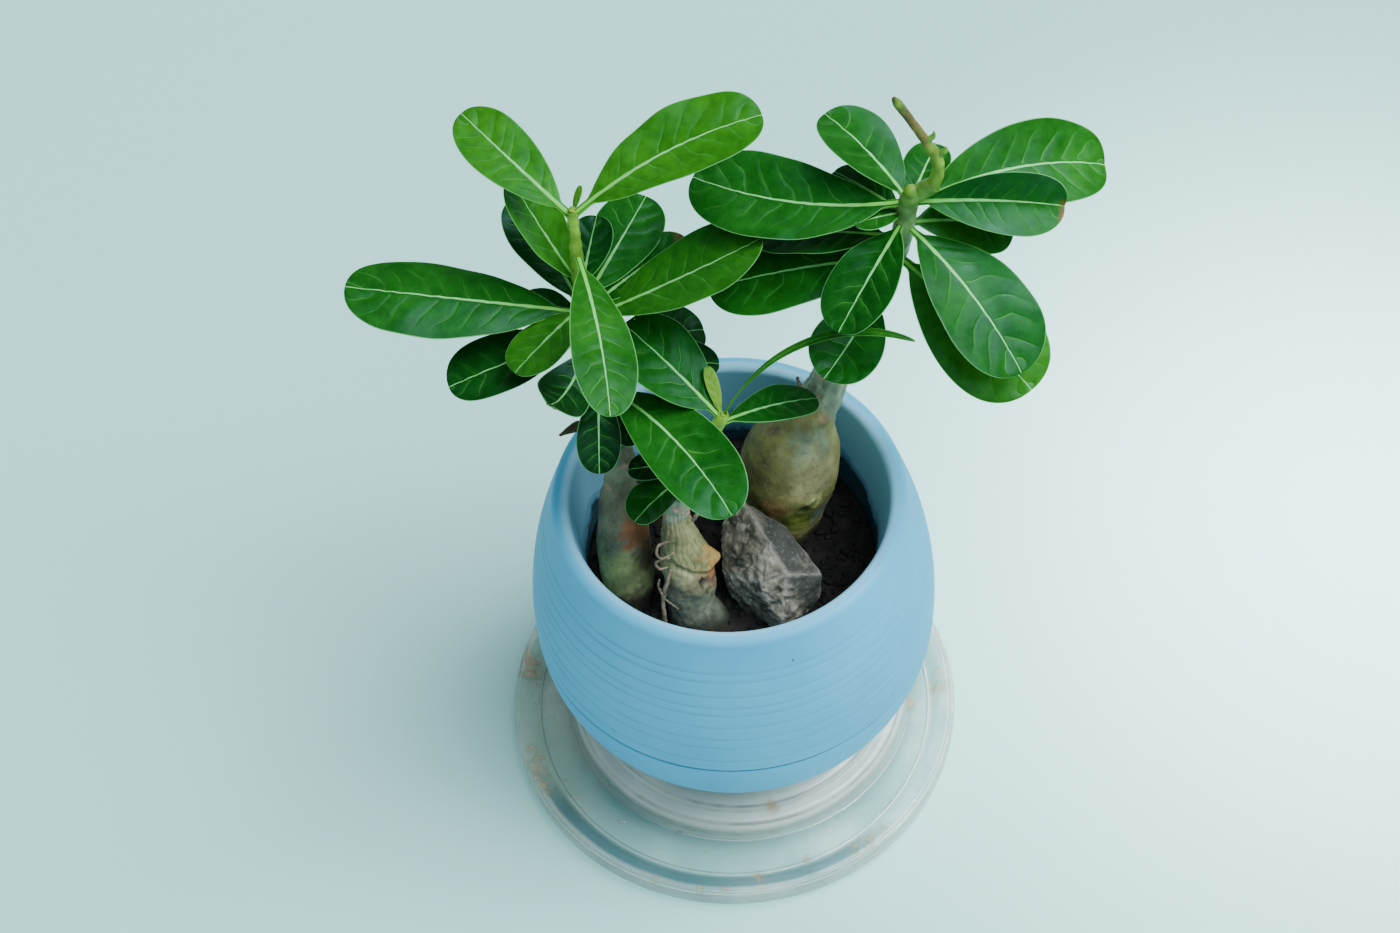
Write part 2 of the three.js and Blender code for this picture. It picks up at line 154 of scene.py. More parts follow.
def rounded(corners, steps=6):
    """Outline points of (radius, height, cut) corners, each rounded over its cut, in millimetres."""
    points = []
    for index, (radius, height, cut) in enumerate(corners):
        corner = Vector((radius, height))
        if not cut:
            points.append(corner)
            continue
        start = (Vector(corners[index - 1][:2]) - corner).normalized() * cut
        end = (Vector(corners[index + 1][:2]) - corner).normalized() * cut
        for step in range(steps + 1):
            share = step / steps
            points.append(corner + start * (1 - share) ** 2 + end * share ** 2)
    return points


def turned(points, axis, sides):
    """A closed turned mesh from outline points in millimetres."""
    shape = bmesh.new()
    line = [shape.verts.new(axis + Vector((radius, 0, height)) * MM) for radius, height in points]
    edges = [shape.edges.new(pair) for pair in zip(line, line[1:])]
    bmesh.ops.spin(shape, geom=line + edges, cent=axis, axis=(0, 0, 1), angle=math.tau, steps=sides,
                   use_merge=True)
    bmesh.ops.remove_doubles(shape, verts=shape.verts, dist=0.001 * MM)
    bmesh.ops.recalc_face_normals(shape, faces=shape.faces)
    return shape


def piece(name, shape, finish, slot, *nodes):
    """A finished piece from its mesh, riding on the plant's one body."""
    mesh = bpy.data.meshes.new(name)
    shape.to_mesh(mesh)
    shape.free()
    mesh.shade_smooth()
    mesh.materials.append(finish.material)
    made = bpy.data.objects.new(name, mesh)
    bpy.context.scene.collection.objects.link(made)
    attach(made, "root")
    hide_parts(*nodes)


glass = Finish("pressed_glass", IOR=1.48, Specular_IOR_Level=0.5)
flat = glass.stretched(1, 1, 0)
ragged = glass.times(glass.noise(2 * MM, 6), 1.0 * MM)
stain = 0.0
for x, y, size in STAINS:
    from_stain = glass.away(flat, SAUCER_AXIS + Vector((x, y, 0)) * MM)
    reach = glass.math("ADD", from_stain, glass.times(ragged, size * 2.2))
    stain = glass.math("MAXIMUM", stain, glass.step(reach, size * 1.1 * MM, size * 2.9 * MM, 0.85, 0.0))
stain = glass.times(stain, glass.step(glass.noise(1.2 * MM, 6), 0.3, 0.65, 0.45, 1.0))
film = glass.step(glass.noise(10 * MM, 6), 0.4, 0.75)
tint = glass.mix(film, (0.54, 0.68, 0.67, 1), (0.68, 0.81, 0.80, 1))
from_pot = glass.away(flat, Vector((0, 0, 0)))
ring = glass.step(from_pot, 48.4 * MM, 49.6 * MM, 1.0, 0.0)
# Painted shade: the sunk floor is darkened towards the ring, under the pot's belly.
depth = glass.step(from_pot, 49 * MM, 55 * MM, 0.75, 0.0)
tint = glass.mix(depth, tint, (0.30, 0.43, 0.43, 1))
# Painted light: the left part of the saucer, which lies in the pot's shade, is tinted paler and warmer.
tint = glass.mix(glass.step(glass.part(0), -58 * MM, -34 * MM, 0.6, 0.0), tint, (0.82, 0.81, 0.67, 1))
# Painted light: the ring under the pot is coloured paler than the rest of the glass.
tint = glass.mix(ring, tint, (0.74, 0.84, 0.80, 1))
# Painted shade: dark broken lines at the ring's steps.
for radius, share in SHADED_STEP_LINES:
    gap = glass.math("ABSOLUTE", glass.math("SUBTRACT", from_pot, radius * MM))
    broken = glass.step(glass.noise(7 * MM, 3), 0.4, 0.6, 0.4, 1.0)
    line = glass.times(glass.step(gap, 0.15 * MM, 0.55 * MM, 1.0, 0.0), broken, share)
    tint = glass.mix(line, tint, (0.10, 0.15, 0.14, 1))
from_middle = glass.away(flat, SAUCER_AXIS)
# Painted light: the outer face of the rim is coloured paler.
tint = glass.mix(glass.step(from_middle, 62.4 * MM, 63.4 * MM, 0.0, 0.8), tint, (0.76, 0.88, 0.84, 1))
# Painted shade: a dark band in the rim's channel, on the front side of the saucer only.
towards_back = glass.math("ADD", glass.part(1), glass.times(glass.part(0), 0.25))
front = glass.step(towards_back, -52 * MM, -36 * MM, 1.0, 0.0)
channel_shade = glass.step(from_middle, 57.4 * MM, 59 * MM)
channel_shade = glass.times(channel_shade, glass.step(from_middle, 61.8 * MM, 62.8 * MM, 1.0, 0.0))
tint = glass.mix(glass.times(channel_shade, front, 0.8), tint, (0.10, 0.20, 0.23, 1))
# Painted highlights: thin pale glint lines on the edges of the ring and rim at the right, broken up by
# noise.
pale = 0.0
for reach, radius, share in [(from_pot, 42.4, 0.9), (from_pot, 47.3, 0.8), (from_middle, 57.2, 0.7),
                             (from_middle, 62.8, 0.5)]:
    gap = glass.math("ABSOLUTE", glass.math("SUBTRACT", reach, radius * MM))
    pale = glass.math("MAXIMUM", pale, glass.step(gap, 0.1 * MM, 0.6 * MM, share, 0.0))
pale = glass.times(pale, glass.step(glass.part(0), -12 * MM, 26 * MM))
pale = glass.times(pale, glass.step(glass.noise(9 * MM, 2), 0.4, 0.55, 0.3, 1.0))
lime_and_glints = glass.step(glass.noise(1.1 * MM, 3), 0.71, 0.76)
lime_and_glints = glass.times(lime_and_glints, glass.step(glass.noise(16 * MM, 2), 0.45, 0.6))
# The limescale specks and the painted glint lines share one pale colour.
lime_and_glints = glass.math("MAXIMUM", lime_and_glints, pale)
tint = glass.mix(lime_and_glints, tint, (0.93, 1, 0.98, 1))
glass.set("Base Color", glass.mix(stain, tint, (0.50, 0.31, 0.13, 1)))
cloudy = glass.math("ADD", 0.2, glass.math("ADD", glass.times(film, 0.2), glass.times(ring, 0.35)))
cloudy = glass.math("MAXIMUM", cloudy, glass.times(lime_and_glints, 0.9))
cloudy = glass.math("MAXIMUM", cloudy, glass.times(stain, 0.8))
glass.set("Transmission Weight", glass.math("SUBTRACT", 1.0, cloudy))
dull = glass.math("ADD", 0.02, glass.times(stain, 0.4))
glass.set("Roughness", glass.math("ADD", glass.times(film, 0.08), dull))
glass.set("Normal", glass.bump(glass.noise(9 * MM, 2), 0.1 * MM))
lamp_ray = glass.node("LightPath").outputs["Is Shadow Ray"]
clear = glass.node("BsdfTransparent", {0: (0.6, 0.69, 0.67, 1)}).outputs[0]
both = glass.node("MixShader", {0: lamp_ray, 1: glass.shader.outputs[0], 2: clear}).outputs[0]
glass.feed(glass.tree.nodes["Material Output"].inputs["Surface"], both)

saucer = turned(rounded(SAUCER_CORNERS), SAUCER_AXIS, 128)
for vert in saucer.verts:
    reach = math.hypot(vert.co.x - SAUCER_AXIS.x, vert.co.y - SAUCER_AXIS.y) / MM
    shift = (RING_FOOT[1] - reach) / (RING_FOOT[1] - RING_FOOT[0])
    if vert.co.z > 4 * MM:
        vert.co -= SAUCER_AXIS * max(0, min(1, shift))
for x, y, size in DROPS:
    place = Matrix.Translation(SAUCER_AXIS + Vector((x, y, 4.4)) * MM) @ Matrix.Diagonal((1.5, 1, 0.35, 1))
    bmesh.ops.create_uvsphere(saucer, u_segments=16, v_segments=8, radius=size * MM, matrix=place)
piece("glass_saucer", saucer, glass, "saucer_glass", "saucer")

# Pot. Matt sky-blue moulded plastic: a round belly with fine turned ridges, a sharp groove round the
# belly, a smooth shoulder, a rounded lip, and a drain hole in the floor. The straight inner wall is
# stained dark above the soil.
POT_BASE = 12.9
POT_FLOOR = 4
DRAIN_RADIUS = 5
POT_FOOT = 32.3
HEEL_RADIUS = 41.6
HEEL_HEIGHT = 21.3
GROOVE_HEIGHT = 53.2
GROOVE_DEPTH = 0.7
BELLY_RADIUS = 55
BELLY_HEIGHT = 54
SHOULDER_RADIUS = 46.3
LIP_HEIGHT = 98.8
LIP_RADIUS = 43.8
LIP_TUBE = 2.5
LIP_START = 24
LIP_STEPS = 12
FACE_FOOT = 24
FACE_STEP = 0.25
SOIL_LEVEL = 75
BORE_RADIUS = 38.5
BORE_FOOT = 34
RIDGE_LINES = [58.2, 64.4, 68, 72.8, 77.4, 80.2, 84.1, 88.8, 91.5]
RIDGE_DEPTH = 0.13
POT_SPECKS = [
    ((12.7, -46.6, 93.2), 0.5), ((40, -37.6, 58.4), 0.7), ((39.2, -38.8, 57.2), 0.5),
    ((0.6, -38, 18.5), 0.6)]


def pot_radius(height):
    """Radius of the pot's smooth outer face at a height."""
    if height < BELLY_HEIGHT:
        share = (BELLY_HEIGHT - height) / (BELLY_HEIGHT - HEEL_HEIGHT)
        return BELLY_RADIUS - (BELLY_RADIUS - HEEL_RADIUS) * share ** 2.5
    share = (height - BELLY_HEIGHT) / (LIP_HEIGHT - BELLY_HEIGHT)
    return BELLY_RADIUS - (BELLY_RADIUS - SHOULDER_RADIUS) * share ** 2


def ridge(height):
    """Depth that the groove and the lines between the turned ridges take off the face at a height."""
    line = min(RIDGE_LINES, key=lambda place: abs(place - height))
    groove = GROOVE_DEPTH * max(0, 1 - abs(height - GROOVE_HEIGHT) / 0.5)
    return max(groove, RIDGE_DEPTH * max(0, 1 - abs(height - line) / 1.1) ** 2)


outline = rounded([
    (DRAIN_RADIUS, POT_BASE, 0), (POT_FOOT, POT_BASE, 0.8), (37.8, (POT_BASE + HEEL_HEIGHT) / 2, 3),
    (HEEL_RADIUS, HEEL_HEIGHT, 1), (pot_radius(FACE_FOOT), FACE_FOOT, 0)])
for step in range(2, int((LIP_HEIGHT - FACE_FOOT) / FACE_STEP) + 1):
    height = FACE_FOOT + FACE_STEP * step
    outline.append(Vector((pot_radius(height) - ridge(height), height)))
for step in range(LIP_STEPS + 1):
    angle = math.radians(LIP_START + (180 - LIP_START) * step / LIP_STEPS)
    reach = LIP_RADIUS + LIP_TUBE * math.cos(angle)
    outline.append(Vector((reach, LIP_HEIGHT + LIP_TUBE * math.sin(angle))))
for height in range(95, SOIL_LEVEL, -2):
    share = (height - SOIL_LEVEL) / (LIP_HEIGHT - SOIL_LEVEL)
    outline.append(Vector((BORE_RADIUS + (LIP_RADIUS - LIP_TUBE - BORE_RADIUS) * share, height)))
outline += [
    Vector((BORE_RADIUS, SOIL_LEVEL)), Vector((BORE_FOOT, POT_BASE + POT_FLOOR)),
    Vector((DRAIN_RADIUS, POT_BASE + POT_FLOOR))]
pot = turned(outline + outline[:1], Vector((0, 0, 0)), 160)

plastic = Finish("blue_plastic", Specular_IOR_Level=0.3)
cloud = plastic.step(plastic.noise(20 * MM, 6), 0.3, 0.7)
blue = plastic.mix(cloud, (0.045, 0.385, 0.67, 1), (0.065, 0.455, 0.74, 1))
rise = plastic.part(2)
from_groove = plastic.math("ABSOLUTE", plastic.math("SUBTRACT", rise, GROOVE_HEIGHT * MM))
# Painted shade: a dark broken line along the groove.
groove = plastic.step(from_groove, 0.2 * MM, 0.5 * MM, 1.0, 0.0)
broken_shade = plastic.step(plastic.noise(8 * MM, 5), 0.3, 0.6, 0.35, 1.0)
blue = plastic.mix(plastic.times(groove, broken_shade, 0.8), blue, (0.03, 0.07, 0.10, 1))
radius = plastic.node("VectorMath", {0: plastic.stretched(1, 1, 0)}, operation="LENGTH").outputs["Value"]
inside = plastic.step(radius, 41.2 * MM, 43 * MM, 1.0, 0.0)
# Painted shade: the lines between the turned ridges are darkened on the outer face, more strongly on the
# left side.
valley = 0.0
for line in RIDGE_LINES:
    gap = plastic.math("ABSOLUTE", plastic.math("SUBTRACT", rise, line * MM))
    valley = plastic.math("ADD", valley, plastic.step(gap, 0.1 * MM, 0.5 * MM, 1.0, 0.0))
valley_shade_share = plastic.step(plastic.part(0), -50 * MM, 20 * MM, 0.5, 0.12)
valley_shade_share = plastic.times(valley_shade_share, plastic.step(radius, 43.5 * MM, 45.5 * MM))
blue = plastic.mix(plastic.times(valley, valley_shade_share, broken_shade), blue, (0.02, 0.15, 0.30, 1))
uneven = plastic.math("SUBTRACT", plastic.noise(9 * MM, 8), 0.5)
edge = plastic.math("ADD", rise, plastic.times(uneven, 26 * MM))
# Painted light: the inner wall and the inside of the lip are coloured paler.
blue = plastic.mix(plastic.step(radius, 42 * MM, 44.5 * MM, 1.0, 0.0), blue, (0.24, 0.60, 0.84, 1))
splash = plastic.times(inside, plastic.step(edge, 80.5 * MM, 82.5 * MM, 1.0, 0.0))
damp = plastic.times(inside, plastic.step(edge, 76.5 * MM, 79.5 * MM, 1.0, 0.0))
blue = plastic.mix(plastic.times(splash, 0.4), blue, (0.01, 0.14, 0.24, 1))
blue = plastic.mix(plastic.times(damp, 0.85), blue, (0.006, 0.014, 0.018, 1))
for place, size in POT_SPECKS:
    from_speck = plastic.away(plastic.place, Vector(place) * MM)
    reach = plastic.math("ADD", from_speck, plastic.times(plastic.noise(0.4 * MM), size * MM))
    speck = plastic.step(reach, 0.8 * size * MM, 1.3 * size * MM, 0.85, 0.0)
    blue = plastic.mix(speck, blue, (0.02, 0.03, 0.035, 1))
plastic.set("Base Color", blue)
plastic.set("Roughness", plastic.math("SUBTRACT", 0.52, plastic.times(damp, 0.25)))
grain = plastic.bump(plastic.noise(0.35 * MM, 2), 0.025 * MM)
plastic.set("Normal", plastic.bump(plastic.noise(14 * MM, 2), 0.3 * MM, grain))
piece("blue_pot", pot, plastic, "pot_plastic", "pot")

# Soil. Damp, nearly black potting soil that fills the pot to well below the lip: a lumpy surface with
# loose crumbs of peat and bark lying on it.
SOIL_FLOOR = 17.2
SOIL_RADIUS = 38.2
SOIL_RINGS = 56
CRUMBS = 900
random.seed(11)


def soil_height(x, y):
    """Height of the soil's surface, in millimetres."""
    lumps = noise.fractal(Vector((x, y, 3)) / 7, 1.0, 2.0, 4)
    return SOIL_LEVEL - 0.9 + 1.1 * lumps


outline = [
    Vector((0, SOIL_FLOOR)), Vector((BORE_FOOT - 0.3, SOIL_FLOOR)), Vector((SOIL_RADIUS, SOIL_LEVEL - 1))]
for ring in range(1, SOIL_RINGS + 1):
    outline.append(Vector((SOIL_RADIUS * (1 - ring / SOIL_RINGS), SOIL_LEVEL)))
ground = turned(outline, Vector((0, 0, 0)), 120)
for vert in ground.verts:
    if vert.co.z > (SOIL_LEVEL - 0.5) * MM:
        vert.co.z = soil_height(vert.co.x / MM, vert.co.y / MM) * MM

earth = Finish("damp_soil", Roughness=0.85, Specular_IOR_Level=0.35)
mottle = earth.step(earth.noise(2.2 * MM, 6), 0.4, 0.7)
earth.set("Base Color", earth.mix(mottle, (0.0025, 0.0035, 0.003, 1), (0.013, 0.011, 0.008, 1)))
earth.set("Normal", earth.bump(earth.noise(0.8 * MM, 5), 0.5 * MM))
piece("potting_soil", ground, earth, "soil", "soil")

crumbs = bmesh.new()
for index in range(CRUMBS):
    reach = (SOIL_RADIUS - 1.5) * math.sqrt(random.random())
    angle = random.uniform(0, math.tau)
    x = reach * math.cos(angle)
    y = reach * math.sin(angle)
    size = random.uniform(0.3, 1.1) * (1.6 if random.random() < 0.08 else 1)
    place = (Matrix.Translation(Vector((x, y, soil_height(x, y) + size * 0.25)) * MM)
             @ Matrix.Rotation(random.uniform(0, math.tau), 4, "Z")
             @ Matrix.Rotation(random.uniform(-0.6, 0.6), 4, "X")
             @ Matrix.Diagonal((random.uniform(0.7, 1.8), 1, random.uniform(0.4, 0.8), 1)))
    bmesh.ops.create_icosphere(crumbs, subdivisions=1, radius=size * MM, matrix=place)
piece("soil_crumbs", crumbs, earth, "soil", "soil")

# Caudices. The three swollen stem bases stand in the soil, each grown as one piece and lofted round its
# leaning axis: the left one slim and grey-green, the right one a fat olive flask with a scarred neck, the
# front one small, wrinkled and knobbed, with dried roots. Spots of skin colour are kept on the mesh, with
# painted shade among them: a dark spot on the left one's right side and dark lines in the front one's
# wrinkles.
BURIED = 10
LEFT_CAUDEX = [
    (-26.9, -15.5, SOIL_LEVEL - BURIED, 3.6), (-27, -13.5, 70, 5.4), (-27.8, -9, 79, 6.8),
    (-28, -5.6, 85, 7), (-28, -2.2, 92, 6.8), (-28, 1, 100, 5.6), (-27.7, 3.4, 105, 4.4),
    (-27.4, 5.6, 112, 3.7), (-27.8, 6.8, 117, 3.4)]
RIGHT_CAUDEX = [
    (14, 8, SOIL_LEVEL - BURIED, 6), (14.6, 9, 70, 8.4), (14.8, 9.6, 77, 9.7), (15.4, 10.2, 84, 11.1),
    (16.3, 11.8, 93, 12.9), (18.3, 14, 102, 12.1), (21, 16.2, 109, 8.9), (24.2, 17.8, 113.5, 6.2),
    (26.3, 19.2, 118, 5), (28.6, 20.9, 124, 4.3), (29.8, 21.3, 127, 4.1)]
FRONT_CAUDEX = [
    (-10.2, -22, SOIL_LEVEL - BURIED, 4.4), (-10.6, -20.6, 70, 6.2), (-11.8, -17.2, 79, 6.3),
    (-12, -13.8, 89, 6), (-13.4, -10.4, 99, 4.6), (-13.9, -8.4, 105, 3), (-13.2, -8, 110, 2.5),
    (-12.4, -8.2, 112.5, 2.4)]
FRONT_KNOB = Vector((-6.4, -13.4, 92))
FRONT_LOBE = Vector((-5, -20.5, 73))
FRONT_CRACK = Vector((-8.2, -18.4, 88.5))
LEFT_SCARS = [(-24.6, 3.6, 108), (-26, 1.6, 113), (-30.4, 1, 106), (-27.6, 3.2, 116)]
RIGHT_SCARS = [(25.4, 11.5, 114.5), (29.8, 13.6, 117), (22.5, 14, 118), (31, 17.5, 121), (25, 17, 124.5)]
FRONT_SCARS = [(-13.4, -10.6, 110), (-16.5, -9.5, 106), (-11.2, -9.5, 107)]
RIGHT_WARTS = [(21.4, 0.6, 95.4), (22.4, 1, 93.6), (20.4, 0, 94.4), (21.6, 0.6, 92.4), (23, 1.6, 95)]

OLIVE = (0.22, 0.27, 0.10)
BROWN_OLIVE = (0.25, 0.25, 0.085)
GREY = (0.17, 0.20, 0.125)
GREEN_GREY = (0.25, 0.33, 0.22)
DARK = (0.03, 0.028, 0.02)
RUST = (0.27, 0.125, 0.055)
PINK = (0.48, 0.28, 0.19)
WART_GREEN = (0.42, 0.50, 0.20)
ROOT_BROWN = Vector((0.36, 0.30, 0.21))
LEFT_MARKS = [
    ((-28, 5, 112), 10, GREY, 0.9), ((-33, -9, 84), 9, (0.13, 0.20, 0.08), 0.9),
    ((-26, -12, 82), 9, OLIVE, 0.8), ((-23.4, -6.4, 95.5), 5.6, RUST, 1),
    # Painted shade: the first mark on this line darkens the left caudex's right side, which faces the right
    # caudex.
    ((-21, -10, 88), 5, (0.07, 0.055, 0.035), 0.9), ((-24, -17, 76), 6, (0.06, 0.035, 0.025), 0.9)]
LEFT_MARKS += [(scar, 1.2, PINK, 0.6) for scar in LEFT_SCARS]
RIGHT_MARKS = [
    ((27, 17, 121), 9, GREEN_GREY, 1), ((21, 8, 108), 6.5, GREEN_GREY, 0.8),
    ((22, 2.5, 102), 8, (0.36, 0.35, 0.17), 0.8), ((7, 6, 97), 8, (0.12, 0.12, 0.035), 0.9),
    ((12, 0, 92), 4, (0.21, 0.13, 0.05), 0.9), ((18.4, -1, 87), 5.5, (0.17, 0.23, 0.03), 0.95),
    ((25, 2, 86), 5, (0.13, 0.16, 0.12), 0.9), ((26, 3, 93), 3, (0.17, 0.20, 0.06), 0.8),
    ((19.3, -0.4, 92), 1.7, (0.06, 0.09, 0.02), 0.95), ((13, 11.5, 110), 2.6, (0.16, 0.12, 0.07), 0.8),
    ((23, 15.5, 119.5), 2.6, (0.14, 0.13, 0.08), 0.8)]
RIGHT_MARKS += [(wart, 0.8, WART_GREEN, 0.9) for wart in RIGHT_WARTS]
RIGHT_MARKS += [(scar, 1.4, PINK, 0.7) for scar in RIGHT_SCARS]
FRONT_MARKS = [
    ((-13, -9, 110), 6, (0.28, 0.35, 0.26), 0.9), ((-12, -22, 78), 12, (0.15, 0.18, 0.13), 1),
    ((-16, -20, 88), 4, (0.24, 0.22, 0.15), 0.8), ((-10, -19.5, 89), 3, (0.16, 0.14, 0.09), 0.8),
    (FRONT_KNOB, 4.2, (0.46, 0.30, 0.09), 0.9),
    (FRONT_KNOB + Vector((0.5, -2.6, -2.6)), 2.4, (0.30, 0.13, 0.06), 0.9),
    (FRONT_CRACK, 1.6, DARK, 0.95), (FRONT_CRACK + Vector((0.2, -0.6, -3)), 1.2, DARK, 0.8),
    (FRONT_CRACK + Vector((2.6, 1, -2)), 2.2, (0.16, 0.10, 0.07), 0.9)]
FRONT_MARKS += [(scar, 1.2, PINK, 0.8) for scar in FRONT_SCARS]


def station(stations, share):
    """Centre and radius on the smooth line through the stations."""
    place = share * (len(stations) - 1)
    index = min(int(place), len(stations) - 2)
    after = place - index
    first, second, third, fourth = [
        Vector(stations[max(0, min(len(stations) - 1, index + step))]) for step in (-1, 0, 1, 2)]
    curve = (second * 2 + (third - first) * after
             + (first * 2 - second * 5 + third * 4 - fourth) * after ** 2
             + (second * 3 - first - third * 3 + fourth) * after ** 3) / 2
    return Vector(curve[:3]), curve[3]


def near(point, centre, size):
    """1 at the centre, falling smoothly to 0 past about twice the size."""
    return math.exp(-((point - Vector(centre)).length / size) ** 2)


def lumps(point, size, seed):
    """Soft random lumps from -1 to 1."""
    return noise.noise(point / size + Vector((seed, 0, 0)))


def painted(colour, point, marks):
    """The colour of the skin at a point, with the marks laid over it in turn."""
    colour = Vector(colour)
    for place, size, paint, strength in marks:
        ragged = 1 + 0.45 * lumps(point, size * 0.5, 3) + 0.25 * lumps(point, 1.3, 8)
        reach = (point - Vector(place)).length / size * ragged
        colour = colour.lerp(Vector(paint), strength * max(0, min(1, 2.6 - 2.4 * reach)))
    return colour


def loft(shape, stations, around, along, relief, tint):
    """Lofts a round limb through the stations, with relief in millimetres and its skin's colour."""
    layer = shape.verts.layers.float_vector.get("tint") or shape.verts.layers.float_vector.new("tint")
    verts = bmesh.ops.create_grid(shape, x_segments=around, y_segments=along, size=1)["verts"]
    for vert in verts:
        angle = math.pi * vert.co.x
        share = (vert.co.y + 1) / 2
        centre, radius = station(stations, share)
        ahead = station(stations, min(1, share + 0.01))[0] - station(stations, max(0, share - 0.01))[0]
        ahead.normalize()
        across = (Vector((1, 0, 0)) - ahead * ahead.x).normalized()
        outward = across * math.cos(angle) + ahead.cross(across) * math.sin(angle)
        point = centre + outward * radius
        vert[layer] = tint(point, angle, share)
        vert.co = (point + outward * relief(point, angle, share)) * MM
    bmesh.ops.remove_doubles(shape, verts=verts, dist=0.001 * MM)
    bmesh.ops.holes_fill(shape, edges=[edge for edge in shape.edges if edge.is_boundary], sides=0)
    return shape


def scarred(point, scars, size):
    """Low rims with sunk middles, where leaves have dropped."""
    return sum(0.6 * near(point, scar, size) - 0.75 * near(point, scar, size / 2) for scar in scars)


def left_relief(point, angle, share):
    rings = 0.22 * math.sin(point.z * 2.1 + 2 * lumps(point, 6, 2)) * max(0, share - 0.55) * 2
    return rings + scarred(point, LEFT_SCARS, 1.5) + 0.5 * lumps(point, 9, 1) + 0.18 * lumps(point, 2.2, 5)


def right_relief(point, angle, share):
    ribs = 0.2 * math.sin(angle * 11 + 3 * lumps(point, 9, 3)) * (0.2 + 0.8 * share)
    waist = -0.5 * math.exp(-((point.z - 111 + 2 * lumps(point, 5, 4)) / 1.2) ** 2)
    warts = sum(0.8 * near(point, wart, 0.9) for wart in RIGHT_WARTS)
    hollow = -0.5 * near(point, (19.3, -0.4, 91.8), 1.3) - 0.5 * near(point, (18.4, -1, 87), 3.5)
    neck_bark = 0.16 + 0.3 * max(0, share - 0.65)
    rough = 0.5 * lumps(point, 8, 6) + neck_bark * lumps(point, 2, 8) + 0.1 * lumps(point, 0.9, 2)
    return ribs + waist + warts + hollow + rough + scarred(point, RIGHT_SCARS, 1.8)


def front_relief(point, angle, share):
    upper = max(0, min(1, (point.z - 90) / 4)) * max(0, min(1, (113 - point.z) / 7))
    wrinkles = 0.26 * abs(math.sin(angle * 10 + 3 * lumps(point, 6, 3))) ** 0.6 * upper
    seam = 94.5 - 0.55 * (point.x + 15) + 1.2 * lumps(point, 5, 1)
    crease = -1.0 * math.exp(-((point.z - seam) / 0.7) ** 2) * (point.y < -8)
    bulge = 0.9 * math.exp(-((point.z - seam + 4.5) / 3.2) ** 2)
    crack = -1.6 * near(point, FRONT_CRACK, 1.4)
    crack -= 1.2 * near(point, FRONT_CRACK + Vector((0, -0.5, -3)), 1.2)
    knob = 3.0 * near(point, FRONT_KNOB, 3.1) * (1 + 0.5 * lumps(point, 1.6, 4))
    lobe = 3.2 * near(point, FRONT_LOBE, 5)
    rough = 0.5 * lumps(point, 5, 2) + 0.22 * lumps(point, 1.4, 5)
    return wrinkles + crease + bulge + crack + knob + lobe + rough + scarred(point, FRONT_SCARS, 1.4)


def front_tint(point, angle, share):
    # Painted shade: the skin is darker along the wrinkles' creases and paler on their crests.
    groove = abs(math.sin(angle * 10 + 3 * lumps(point, 6, 3)))
    wrinkle_shaded_green = Vector((0.14, 0.16, 0.05)).lerp(Vector((0.28, 0.295, 0.14)), min(1, 2.6 * groove))
    return painted(wrinkle_shaded_green, point, FRONT_MARKS)


def skin(name, gloss):
    """Skin of a caudex: its painted colour, clouded and specked, and dark with soil at the foot."""
    bark = Finish(name, Specular_IOR_Level=0.35)
    tint = bark.attribute("tint")
    clouds = bark.step(bark.noise(3.2 * MM, 7), 0.3, 0.7, 0.62, 1.18)
    colour = bark.node("VectorMath", {0: tint, "Scale": clouds}, operation="SCALE").outputs[0]
    mesh_lines = bark.noise(0.8 * MM, 5, bark.stretched(1.6, 1.6, 0.8))
    colour = bark.mix(bark.step(mesh_lines, 0.56, 0.7, 0.0, 0.14), colour, (0.45, 0.44, 0.33, 1))
    colour = bark.mix(bark.step(mesh_lines, 0.3, 0.42, 0.45, 0.0), colour, (0.05, 0.045, 0.03, 1))
    height = bark.math("ADD", bark.part(2), bark.times(bark.noise(5 * MM, 4), 10 * MM))
    soiled = bark.step(height, (SOIL_LEVEL + 5) * MM, (SOIL_LEVEL + 11) * MM, 0.85, 0.0)
    bark.set("Base Color", bark.mix(soiled, colour, (0.012, 0.011, 0.009, 1)))
    bark.set("Roughness", bark.step(mesh_lines, 0.3, 0.7, gloss, gloss + 0.2))
    fine = bark.bump(bark.noise(0.45 * MM, 4), 0.14 * MM)
    bark.set("Normal", bark.bump(bark.noise(2 * MM, 6), 0.4 * MM, fine))
    return bark


caudex_skin = skin("caudex_skin", 0.5)
left = loft(bmesh.new(), LEFT_CAUDEX, 80, 150, left_relief,
            lambda point, angle, share: painted(GREY, point, LEFT_MARKS))
piece("grown_caudex_left", left, caudex_skin, "caudex_bark", "caudex_left")
right = loft(bmesh.new(), RIGHT_CAUDEX, 120, 170, right_relief,
             lambda point, angle, share: painted(BROWN_OLIVE, point, RIGHT_MARKS))
piece("grown_caudex_right", right, caudex_skin, "caudex_bark", "caudex_right")

